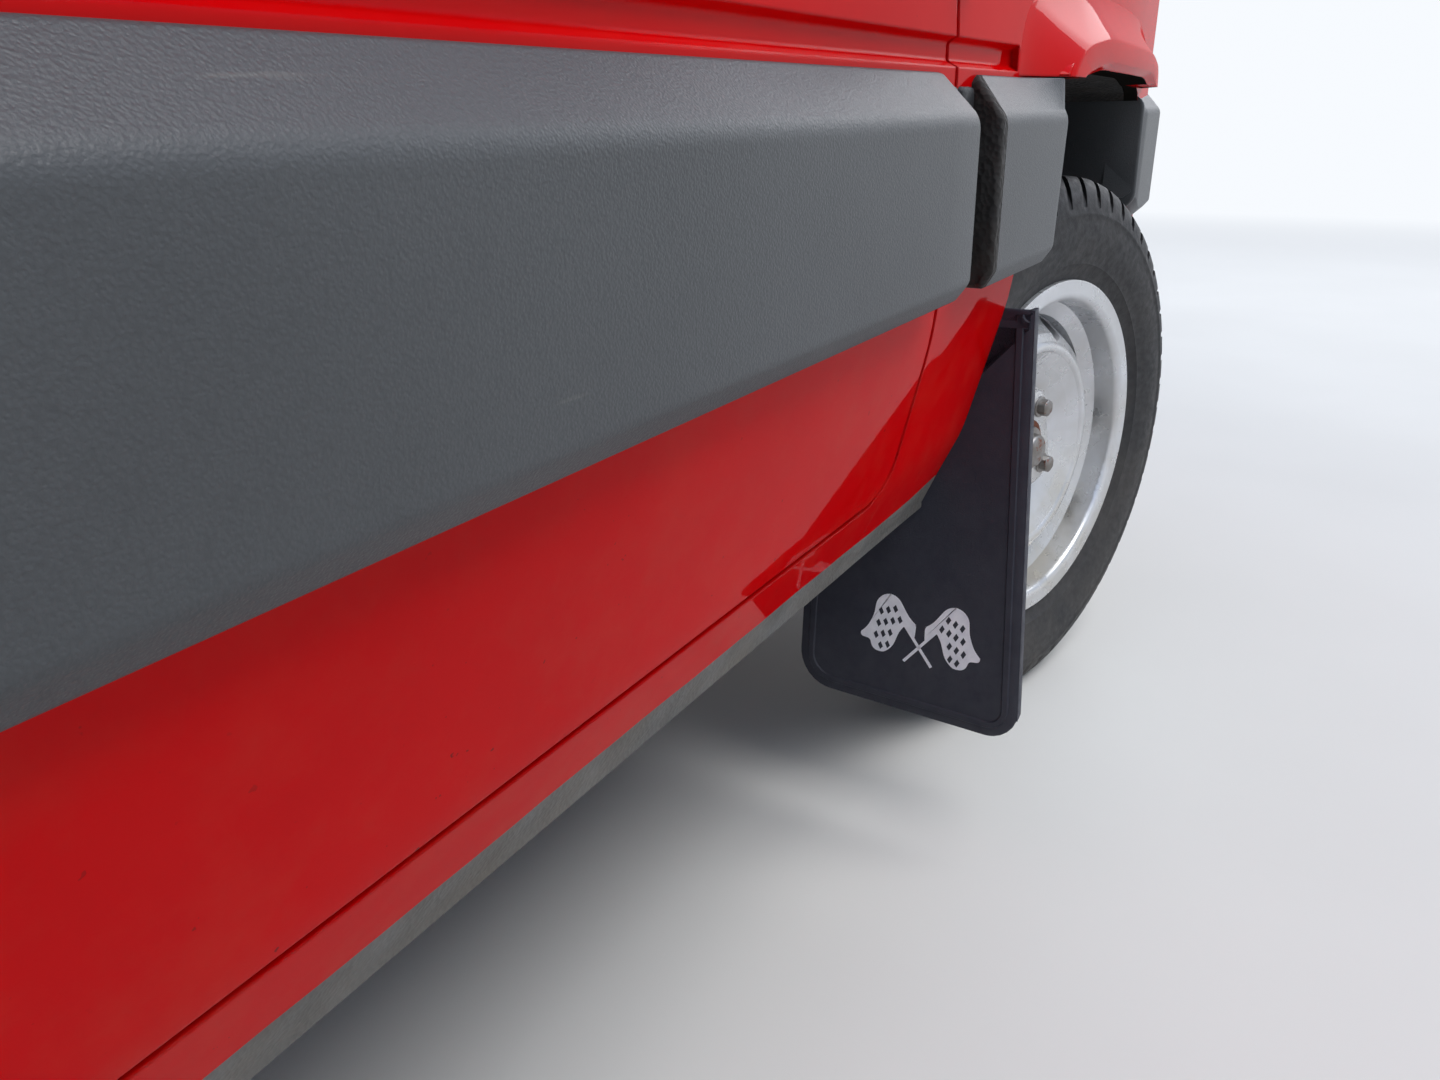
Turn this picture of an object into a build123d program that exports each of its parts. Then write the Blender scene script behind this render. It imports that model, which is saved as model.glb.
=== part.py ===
from build123d import *
import math
import os

# A small boxy two-door hatchback on raised suspension, with grey plastic side bands and mud flaps.
# The frame: X forward, Y to the left, Z up, origin on the ground under the middle of the car.
# All lengths are in millimetres and all angles in degrees.

# Overall layout
WHEELBASE = 2170.0
FRONT_OVERHANG = 600.0
REAR_OVERHANG = 610.0
NOSE_BUMPER_DEPTH = 42.0
TAIL_BUMPER_DEPTH = 58.0
LENGTH = FRONT_OVERHANG + WHEELBASE + REAR_OVERHANG
FRONT_AXLE_X = LENGTH / 2 - FRONT_OVERHANG
REAR_AXLE_X = FRONT_AXLE_X - WHEELBASE
NOSE_X = LENGTH / 2 - NOSE_BUMPER_DEPTH
TAIL_X = -LENGTH / 2 + TAIL_BUMPER_DEPTH
FAR = 3000.0
OPEN_BELOW = -200.0

# Body heights
SILL_Z = 312.0
FRONT_VALANCE_Z = 365.0
REAR_VALANCE_Z = 385.0
NOSE_TOP_Z = 770.0
BELT_Z = 905.0
ROOF_TOP_Z = 1452.0
HEADER_Z = ROOF_TOP_Z - 44.0
ROOF_REAR_Z = ROOF_TOP_Z - 32.0

# Stations along the car
SCREEN_FOOT_X = FRONT_AXLE_X - 315.0
SCREEN_HEAD_X = FRONT_AXLE_X - 745.0
TAIL_HEAD_X = TAIL_X + 192.0
TAIL_BELT_X = TAIL_X + 32.0

# Half widths of the body side, from the sill up
WAIST_HALF = 726.0
SILL_HALF = WAIST_HALF - 64.0
DOOR_FOOT_HALF = WAIST_HALF - 32.0
BELT_HALF = WAIST_HALF - 13.0
RAIL_HALF = WAIST_HALF - 126.0
NOSE_HALF = WAIST_HALF - 76.0
TAIL_HALF = WAIST_HALF - 36.0
HALF_TRACK = WAIST_HALF - 84.0
PLAN_SPARE = 2.0

# Wall thicknesses and gaps
SIDE_WALL = 55.0
ROOF_WALL = 25.0
SCREEN_WALL = 30.0
TAIL_WALL = 45.0
NOSE_WALL = 40.0
WING_SKIN = 16.0
BONNET_SKIN = 22.0
GLASS = 5.0
GLASS_INSET = 8.0
PANEL_GAP = 5.0
SEAM = 0.3
REST_GAP = 0.3

# Hinges of the doors, the bonnet and the tailgate
HINGE_R = 7.0
HINGE_PIN_R = 4.0
HINGE_FIT = 0.05
HINGE_LENGTH = 60.0
DOOR_HINGE_HEIGHTS = (735.0, 865.0)
BONNET_HINGE_Y = WAIST_HALF - 246.0
GATE_HINGE_Y = WAIST_HALF - 326.0

# Side band and groove
BAND_BOTTOM_Z = 518.0
BAND_TOP_Z = BAND_BOTTOM_Z + 129.0
BAND_PROUD = 24.0
BAND_GAP = 42.0
GROOVE_BOTTOM_Z = BAND_TOP_Z + 3.0
GROOVE_HEIGHT = 18.0
GROOVE_DEPTH = 7.0
GROOVE_FRONT_X = FRONT_AXLE_X - 360.0
GROOVE_REAR_X = REAR_AXLE_X + 380.0

# Doors and windows
DOOR_FRONT_X = FRONT_AXLE_X - 493.0
DOOR_LENGTH = 1000.0
DOOR_BOTTOM_Z = SILL_Z + 66.0
DOOR_TOP_Z = HEADER_Z - 42.0
DOOR_REAR_X = DOOR_FRONT_X - DOOR_LENGTH
PILLAR_WIDTH = 75.0
WINDOW_FRAME = 52.0
WINDOW_FOOT_Z = BELT_Z + 37.0
WINDOW_HEAD_Z = DOOR_TOP_Z - 44.0
B_PILLAR_WIDTH = 75.0
QUARTER_REAR_X = TAIL_X + 330.0
BONNET_HALF = WAIST_HALF - 86.0
BONNET_NOSE_HALF = NOSE_HALF - 60.0
BONNET_REAR_X = SCREEN_FOOT_X + 35.0
NOSE_PANEL_REAR_X = NOSE_X - 58.0
TAILGATE_FOOT_Z = BAND_TOP_Z + 13.0
TAILGATE_HEAD_Z = ROOF_REAR_Z - 32.0
GATE_HALF = WAIST_HALF - 136.0
GATE_HEAD_HALF = RAIL_HALF - 88.0
GATE_DEPTH = 60.0
ROOF_PANEL_FOOT_Z = HEADER_Z - 56.0

# Wheel arches, as half widths from the axle
ARCH_FOOT_HALF = 352.0
ARCH_SHOULDER_HALF = 305.0
ARCH_CROWN_HALF = 190.0
ARCH_FOOT_Z = 180.0
ARCH_SHOULDER_Z = 640.0
ARCH_TOP_Z = 661.0
ARCH_SHOULDER_R = 25.0
ARCH_CROWN_R = 700.0
FLARE_WIDTH = 34.0
FLARE_PROUD = 20.0
FLARE_SLOPE = 18.0
FRONT_FLARE_TURN = -4.2
REAR_FLARE_TURN = 1.2
TUB_WALL = 3.0
FRONT_TUB_INNER = HALF_TRACK - 257.0
FRONT_TUB_FOOT_Z = 340.0
REAR_TUB_INNER = HALF_TRACK - 122.0

# Lamps and grille
LAMP_OUTER = NOSE_HALF - 50.0
LAMP_INNER = LAMP_OUTER - 185.0
LAMP_FOOT_Z = BAND_TOP_Z + 3.0
LAMP_HEAD_Z = LAMP_FOOT_Z + 85.0
GRILLE_SLOTS = 4
TAIL_LAMP_INNER = GATE_HALF + 12.0
TAIL_LAMP_FOOT_Z = BAND_TOP_Z + 18.0
TAIL_LAMP_HEAD_Z = TAIL_LAMP_FOOT_Z + 170.0
TAIL_LAMP_WRAP = 55.0
LAMP_WALL = 38.0
GATE_GLASS_FOOT_HALF = GATE_HALF - 55.0
GATE_GLASS_HEAD_HALF = GATE_HEAD_HALF - 50.0

# Mirrors and handles
MIRROR_X = DOOR_FRONT_X - 75.0
MIRROR_Z = BELT_Z + 80.0
MIRROR_HALF_WIDTH = 75.0
MIRROR_HALF_HEIGHT = 55.0
MIRROR_DEPTH = 45.0
MIRROR_ARM = 36.0
HANDLE_Z = BELT_Z - 105.0
HANDLE_LENGTH = 150.0
HANDLE_HALF_HEIGHT = 16.0
HANDLE_PROUD = 14.0

# Bumpers
BUMPER_BOTTOM_Z = BAND_BOTTOM_Z - 28.0
BUMPER_SIDE_PROUD = 16.0
BUMPER_ARCH_GAP = 8.0

# Mud flaps
FLAP_WALL = 5.0
FLAP_LIP = 16.0
FLAP_OUTER = WAIST_HALF + 30.0
FLAP_INNER = FLAP_OUTER - 196.0
FLAP_FOOT_Z = 125.0
FLAP_TOP_Z = 380.0
FLAP_EDGE_TOP_Z = 480.0
FLAP_SPLAY = 14.0

# Floor
FLOOR_Z = 315.0
FLOOR_WALL = 25.0
REAR_FLOOR_Z = 470.0
HEEL_X = -620.0
TUNNEL_HALF = 110.0
TUNNEL_RISE = 85.0
FIREWALL_X = FRONT_AXLE_X - 390.0
FIREWALL_WALL = 15.0
RAIL_OUT = FRONT_TUB_INNER - 7.0
RAIL_IN = RAIL_OUT - 58.0
RAIL_HEIGHT = 75.0
RAIL_BOTTOM_Z = FLOOR_Z + FLOOR_WALL - 2.0
SUBFRAME_TOP_Z = 300.0
TOW_EYE_Y = (RAIL_IN + RAIL_OUT) / 2
TOW_EYE_R = 14.0
TOW_EYE_WALL = 12.0

# Wheels and tyres
TYRE_R = 283.0
TYRE_HALF_WIDTH = 72.0
TREAD_WALL = 13.0
SIDEWALL = 10.0
BEAD_R = 166.0
RIM_FLANGE_R = 182.0
RIM_HALF_WIDTH = 57.0
RIM_LIP = 4.5
RIM_STEEL = 4.0
RIM_WELL_R = 148.0
DISC_CREST_R = 110.0
DISC_CREST = 40.0
HUB_FACE = 16.0
HUB_R = 66.0
HUB_NOSE_R = 28.0
BOLT_CIRCLE_R = 49.0
BOLT_R = 6.0
BOLT_COUNT = 4
HAND_HOLE_R = 11.0
HAND_HOLE_CIRCLE_R = 130.0
HAND_HOLE_COUNT = 10
AXLE_Z = TYRE_R

# Front steering
KINGPIN_Y = HALF_TRACK - 112.0
STEER_AT_REST = -14.0
BRAKE_DISC_R = 114.0
STUB_R = 19.0
STUB_FIT = 0.05
STRUT_R = 22.0
CUP_R = 30.0
ARM_Z = 178.0
KNUCKLE_FOOT_Z = 200.0
SPRING_SEAT_Z = 560.0

# Rear axle
AXLE_TUBE_R = 34.0
REAR_TUBE_END = HALF_TRACK - 62.0
DIFF_R = 95.0
SPRING_Y = HALF_TRACK - 177.0
SPRING_HALF_SPAN = 415.0
SPRING_EYE_Z = 345.0
SPRING_LEAF = 16.0

# Engine, drive shafts, tank and exhaust
ENGINE_X = (FRONT_AXLE_X - 60.0, FRONT_AXLE_X + 300.0)
ENGINE_Y = (-RAIL_IN + 70.0, RAIL_IN - 30.0)
ENGINE_TOP_Z = 720.0
SHAFT_R = 12.0
PROP_Z = 300.0
PROP_R = 26.0
TANK_X = (HEEL_X - FLOOR_WALL - 290.0, HEEL_X - FLOOR_WALL - 10.0)
TANK_Y = (90.0, 430.0)
TANK_Z = 320.0
EXHAUST_R = 20.0
EXHAUST_BEND = 70.0
EXHAUST_CAN = (REAR_AXLE_X - 330.0, -190.0, 372.0)
EXHAUST_CAN_HALF = 190.0
EXHAUST_CAN_R = 68.0
EXHAUST_ROUTE = [
    (ENGINE_X[0], -160.0, 330.0),
    (ENGINE_X[0] - 220.0, -160.0, 280.0),
    (HEEL_X - 60.0, -190.0, 280.0),
    (REAR_AXLE_X + 170.0, -190.0, 405.0),
    (REAR_AXLE_X - 170.0, -190.0, 405.0),
    (REAR_AXLE_X - 300.0, -190.0, 380.0),
]

# Cabin
SEAT_X = -190.0
SEAT_Y = WAIST_HALF - 386.0
SEAT_Z = FLOOR_Z + 285.0
SEAT_HALF = 240.0
BENCH_X = HEEL_X - 390.0
BENCH_HALF = REAR_TUB_INNER - 20.0
DASH_FOOT_Z = 620.0
STEER_WHEEL_X = FIREWALL_X - 370.0
STEER_WHEEL_Z = 800.0
STEER_WHEEL_R = 180.0
WHEEL_LEAN = 35.0

RIGHT, LEFT = -1, 1
SIDES = {"right": RIGHT, "left": LEFT}


def place(axis, low):
    """The function that puts a flat point (a, b) into space, for a prism along the given axis."""
    if axis == "x":
        return lambda a, b: Vector(low, a, b)
    if axis == "y":
        return lambda a, b: Vector(a, low, b)
    return lambda a, b: Vector(a, b, low)


def outline(rows, put):
    """A closed wire through rows of (a, b) or (a, b, corner radius)."""
    points = [(row[0], row[1], row[2] if len(row) > 2 else 0.0) for row in rows]
    count = len(points)
    spans = []
    for i, (a, b, radius) in enumerate(points):
        before, after = points[i - 1], points[(i + 1) % count]
        back = Vector(before[0] - a, before[1] - b).normalized()
        ahead = Vector(after[0] - a, after[1] - b).normalized()
        here = Vector(a, b)
        angle = math.acos(max(-1.0, min(1.0, back.dot(ahead))))
        if radius <= 0 or angle > math.pi - 1e-4:
            spans.append((here, None, here))
            continue
        reach = radius / math.tan(angle / 2)
        middle = (back + ahead).normalized()
        depth = radius / math.sin(angle / 2) - radius
        spans.append((here + back * reach, here + middle * depth, here + ahead * reach))
    edges = []
    for i, (start, middle, end) in enumerate(spans):
        if middle is not None:
            edges.append(Edge.make_three_point_arc(*(put(p.X, p.Y) for p in (start, middle, end))))
        following = spans[(i + 1) % count][0]
        if (following - end).length > 1e-4:
            edges.append(Edge.make_line(put(end.X, end.Y), put(following.X, following.Y)))
    return Wire(edges)


def prism(rows, axis, low, high):
    """A solid with the outline rows, from low to high along the axis."""
    step = high - low
    direction = {"x": (step, 0, 0), "y": (0, step, 0), "z": (0, 0, step)}[axis]
    return Solid.extrude(Face(outline(rows, place(axis, low))), Vector(*direction))


def inset(rows, amounts):
    """The same outline with each edge moved inwards; the rows run anticlockwise."""
    points = [(row[0], row[1], row[2] if len(row) > 2 else 0.0) for row in rows]
    count = len(points)
    if not isinstance(amounts, (list, tuple)):
        amounts = [amounts] * count
    lines = []
    for i in range(count):
        (a, b, _), (c, d, _) = points[i], points[(i + 1) % count]
        size = math.hypot(c - a, d - b)
        ux, uy = (c - a) / size, (d - b) / size
        lines.append((a - uy * amounts[i], b + ux * amounts[i], ux, uy))
    moved = []
    for i in range(count):
        ax, ay, ux, uy = lines[i - 1]
        bx, by, vx, vy = lines[i]
        cross = ux * vy - uy * vx
        if abs(cross) < 1e-6:
            moved.append((bx, by, 0.0))
            continue
        t = ((bx - ax) * vy - (by - ay) * vx) / cross
        amount = (amounts[i - 1] + amounts[i]) / 2
        radius = points[i][2]
        if radius > 0:
            radius = max(radius - amount if cross > 0 else radius + amount, 1.0)
        moved.append((ax + ux * t, ay + uy * t, radius))
    return moved


def box(x0, x1, y0, y1, z0, z1):
    """A plain box between the given corners."""
    return Solid.make_box(x1 - x0, y1 - y0, z1 - z0).moved(Location((x0, y0, z0)))


def mirrored(shape):
    """The same shape on the other side of the car."""
    return shape.mirror(Plane.XZ)


def on_side(rows_shape, side):
    """A shape drawn for the left side, put on the given side."""
    return rows_shape if side == LEFT else mirrored(rows_shape)


def rod(start, end, radius):
    """A round bar from start to end."""
    a, b = Vector(*start), Vector(*end)
    return Solid.make_cylinder(radius, (b - a).length, Plane(origin=a, z_dir=b - a))


def lathe(rows, x, z, y, side):
    """A ring turned about a line along Y through (x, z): rows are (radius, distance outwards from y)."""
    put = lambda r, out: Vector(x + r, side * (y + out), z)
    return Solid.revolve(Face(outline(rows, put)), 360, Axis((x, 0, z), (0, 1, 0)))


def line_x(p, q, z):
    """Where the line from p to q, as (x, z), is at height z."""
    return p[0] + (q[0] - p[0]) * (z - p[1]) / (q[1] - p[1])


def surface_z(p, q, x):
    """Where the line from p to q, as (x, z), is at station x."""
    return p[1] + (q[1] - p[1]) * (x - p[0]) / (q[0] - p[0])


def round_bar(axis, centre, low, high, radius):
    """A bar along the axis, through the flat point centre."""
    put = place(axis, low)
    end = place(axis, high)
    return rod(tuple(put(*centre)), tuple(end(*centre)), radius)


def barrel_hinge(axis, centre, middle, fixed_rows, moving_rows):
    """A hinge about the line through centre: two ears with a pin, and the lug that turns on it."""
    half, third = HINGE_LENGTH / 2, HINGE_LENGTH / 6
    fixed = round_bar(axis, centre, middle - half, middle + half, HINGE_PIN_R)
    for low, high in ((-half, -third - REST_GAP), (third + REST_GAP, half)):
        ear = prism(fixed_rows, axis, middle + low, middle + high)
        fixed = fixed + ear + round_bar(axis, centre, middle + low, middle + high, HINGE_R)
    lug = prism(moving_rows, axis, middle - third, middle + third)
    lug = lug + round_bar(axis, centre, middle - third, middle + third, HINGE_R)
    bore = round_bar(axis, centre, middle - half, middle + half, HINGE_PIN_R + HINGE_FIT)
    return fixed, lug - bore


def write(name, *solids):
    """One STEP file for a node, from its solids."""
    whole = []
    for solid in solids:
        whole += list(solid.solids())
    export_step(whole[0] if len(whole) == 1 else Compound(whole), f"parts/{name}.step")


# The body as three outlines that cut each other: cross-section, side view and plan view

SCREEN_FOOT = (SCREEN_FOOT_X, BELT_Z)
SCREEN_HEAD = (SCREEN_HEAD_X, HEADER_Z)
NOSE_TOP = (NOSE_X - 8, NOSE_TOP_Z)
GATE_HEAD = (TAIL_HEAD_X, ROOF_REAR_Z)
GATE_BELT = (TAIL_BELT_X, BELT_Z)

# half width, height, corner radius, from the sill to the roof
HALF_SECTION = [
    (SILL_HALF, SILL_Z, 8),
    (DOOR_FOOT_HALF, DOOR_BOTTOM_Z + 5, 120),
    (WAIST_HALF - 4, BAND_BOTTOM_Z - 20, 250),
    (WAIST_HALF, BAND_TOP_Z, 500),
    (BELT_HALF, BELT_Z, 60),
    (RAIL_HALF, HEADER_Z - 10, 70),
    (RAIL_HALF * 0.62, ROOF_TOP_Z - 8, 400),
    (0, ROOF_TOP_Z + 10, 0),
]
SECTION = [(-y, z, r) for y, z, r in HALF_SECTION[:-1]]
SECTION = [(0, SILL_Z, 0)] + HALF_SECTION + SECTION[::-1]

# x, height, corner radius, anticlockwise from the rear foot
PROFILE = [
    (TAIL_X + 18, REAR_VALANCE_Z, 20),
    (REAR_AXLE_X - 300, REAR_VALANCE_Z, 0),
    (REAR_AXLE_X - 250, SILL_Z, 0),
    (FRONT_AXLE_X + 250, SILL_Z, 0),
    (FRONT_AXLE_X + 300, FRONT_VALANCE_Z, 0),
    (NOSE_X - 6, FRONT_VALANCE_Z, 20),
    (NOSE_X, BAND_TOP_Z - 40, 0),
    (*NOSE_TOP, 22),
    (SCREEN_FOOT_X, BELT_Z, 0),
    (SCREEN_HEAD_X, HEADER_Z, 60),
    (SCREEN_HEAD_X - 560, ROOF_TOP_Z, 4000),
    (TAIL_HEAD_X, ROOF_REAR_Z, 45),
    (TAIL_BELT_X, BELT_Z, 60),
    (TAIL_X, TAILGATE_FOOT_Z + 40, 30),
]

# x, y, corner radius, anticlockwise from the right rear corner
PLAN = [
    (TAIL_X, -TAIL_HALF, 60),
    (REAR_AXLE_X - 150, -WAIST_HALF - PLAN_SPARE, 2500),
    (FRONT_AXLE_X - 80, -WAIST_HALF - PLAN_SPARE, 6000),
    (NOSE_X + 5, -NOSE_HALF, 75),
    (NOSE_X + 5, NOSE_HALF, 75),
    (FRONT_AXLE_X - 80, WAIST_HALF + PLAN_SPARE, 6000),
    (REAR_AXLE_X - 150, WAIST_HALF + PLAN_SPARE, 2500),
    (TAIL_X, TAIL_HALF, 60),
]


def body_block(side=0.0, top=0.0, bottom=0.0, nose=0.0, screen=0.0, tail=0.0):
    """The body's outer form, with each kind of face moved inwards."""
    below = [bottom]
    half = [side] * 5 + [top] * 2
    section = inset(SECTION, below + half + half[::-1] + below)
    profile = inset(PROFILE, [bottom] * 5 + [nose] * 2 + [top, screen, top, top] + [tail] * 3)
    plan = inset(PLAN, [side] * 3 + [nose] + [side] * 3 + [tail])
    block = prism(section, "x", -FAR, FAR) & prism(profile, "y", -FAR, FAR)
    return block & prism(plan, "z", -FAR, FAR)


def arch_outline(axle_x, grow=0.0):
    """The opening over a wheel, in the side view."""
    rows = [
        (axle_x - ARCH_FOOT_HALF, ARCH_FOOT_Z, 0),
        (axle_x + ARCH_FOOT_HALF, ARCH_FOOT_Z, 0),
        (axle_x + ARCH_SHOULDER_HALF, ARCH_SHOULDER_Z, ARCH_SHOULDER_R),
        (axle_x + ARCH_CROWN_HALF, ARCH_TOP_Z, ARCH_CROWN_R),
        (axle_x - ARCH_CROWN_HALF, ARCH_TOP_Z, ARCH_CROWN_R),
        (axle_x - ARCH_SHOULDER_HALF, ARCH_SHOULDER_Z, ARCH_SHOULDER_R),
    ]
    return inset(rows, -grow) if grow else rows


def arch_rear_x(axle_x, z):
    """Where the arch opening's rear edge is at height z."""
    foot = (axle_x - ARCH_FOOT_HALF, ARCH_FOOT_Z)
    head = (axle_x - ARCH_SHOULDER_HALF, ARCH_SHOULDER_Z)
    return line_x(foot, head, z)


def door_outline(grow=0.0):
    """The door in the side view."""
    slope = (SCREEN_HEAD_X - SCREEN_FOOT_X) / (HEADER_Z - BELT_Z)
    back = PILLAR_WIDTH * math.hypot(1, slope)
    pillar_x = lambda z: SCREEN_FOOT_X + slope * (z - BELT_Z) - back
    corner_z = BELT_Z + (DOOR_FRONT_X + back - SCREEN_FOOT_X) / slope
    rows = [
        (DOOR_REAR_X, DOOR_BOTTOM_Z, 45),
        (DOOR_FRONT_X, DOOR_BOTTOM_Z, 30),
        (DOOR_FRONT_X, corner_z, 60),
        (pillar_x(DOOR_TOP_Z), DOOR_TOP_Z, 45),
        (DOOR_REAR_X, DOOR_TOP_Z, 45),
    ]
    return inset(rows, -grow) if grow else rows


def door_window_outline():
    """The glass in the door, in the side view."""
    frame = inset(door_outline(), WINDOW_FRAME)
    corner_x, corner_z = frame[2][0], frame[2][1]
    return [
        (frame[0][0], WINDOW_FOOT_Z, 25),
        (corner_x, WINDOW_FOOT_Z, 20),
        (corner_x, corner_z, 15),
        (line_x(frame[2], frame[3], WINDOW_HEAD_Z), WINDOW_HEAD_Z, 25),
        (frame[4][0], WINDOW_HEAD_Z, 25),
    ]


def bonnet_outline(rear_x, grow=0.0):
    """The bonnet from above, from the given rear edge to beyond the nose, narrower at the front."""
    rear, nose = BONNET_HALF + grow, BONNET_NOSE_HALF + grow
    rows = [(NOSE_X + 100, nose), (BONNET_REAR_X, rear)]
    if rear_x < BONNET_REAR_X:
        rows.append((rear_x, rear))
    return [(x, -y, 0) for x, y in rows[::-1]] + [(x, y, 0) for x, y in rows]


def gate_outline(grow=0.0):
    """The tailgate in the rear view."""
    rows = [
        (-GATE_HALF, TAILGATE_FOOT_Z, 30),
        (GATE_HALF, TAILGATE_FOOT_Z, 30),
        (GATE_HALF - 4, BELT_Z, 60),
        (GATE_HEAD_HALF, TAILGATE_HEAD_Z, 30),
        (-GATE_HEAD_HALF, TAILGATE_HEAD_Z, 30),
        (-GATE_HALF + 4, BELT_Z, 60),
    ]
    return inset(rows, -grow) if grow else rows


def quarter_window_outline():
    """The fixed glass behind the door, in the side view."""
    front = DOOR_REAR_X - B_PILLAR_WIDTH
    return [
        (QUARTER_REAR_X - 30, WINDOW_FOOT_Z, 25),
        (front, WINDOW_FOOT_Z, 25),
        (front, WINDOW_HEAD_Z, 25),
        (QUARTER_REAR_X + 35, WINDOW_HEAD_Z, 25),
    ]


def band_solid(x0, x1):
    """The plastic band of the left side between two stations, before the body is cut from it."""
    face = WAIST_HALF + BAND_PROUD
    rows = [
        (WAIST_HALF - 30, BAND_BOTTOM_Z, 0),
        (face - 8, BAND_BOTTOM_Z, 4),
        (face, BAND_BOTTOM_Z + 12, 8),
        (face, BAND_TOP_Z - 24, 14),
        (WAIST_HALF + 2, BAND_TOP_Z, 3),
        (WAIST_HALF - 30, BAND_TOP_Z, 0),
    ]
    return prism(rows, "x", x0, x1)


def groove(x0, x1):
    """The long groove above the band, on both sides, as the solid that is cut away."""
    rows = [
        (WAIST_HALF - GROOVE_DEPTH, GROOVE_BOTTOM_Z + 4, 3),
        (WAIST_HALF + 12, GROOVE_BOTTOM_Z - 6, 0),
        (WAIST_HALF + 12, GROOVE_BOTTOM_Z + GROOVE_HEIGHT + 6, 0),
        (WAIST_HALF - GROOVE_DEPTH, GROOVE_BOTTOM_Z + GROOVE_HEIGHT - 4, 3),
    ]
    foot, head, r = GROOVE_BOTTOM_Z, GROOVE_BOTTOM_Z + GROOVE_HEIGHT, GROOVE_HEIGHT / 2 - 0.5
    ends = [(x0, foot, r), (x1, foot, r), (x1, head, r), (x0, head, r)]
    one = prism(rows, "x", x0, x1) & prism(ends, "y", 0, FAR)
    return [one, mirrored(one)]


def both(rows, low, high):
    """A side-view prism on both sides of the car, between two distances from the middle."""
    one = prism(rows, "y", low, high)
    return [one, mirrored(one)]


def cut(shape, *tools):
    """The shape with each tool taken away in turn."""
    for tool in tools:
        shape = shape - tool
    return shape


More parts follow.
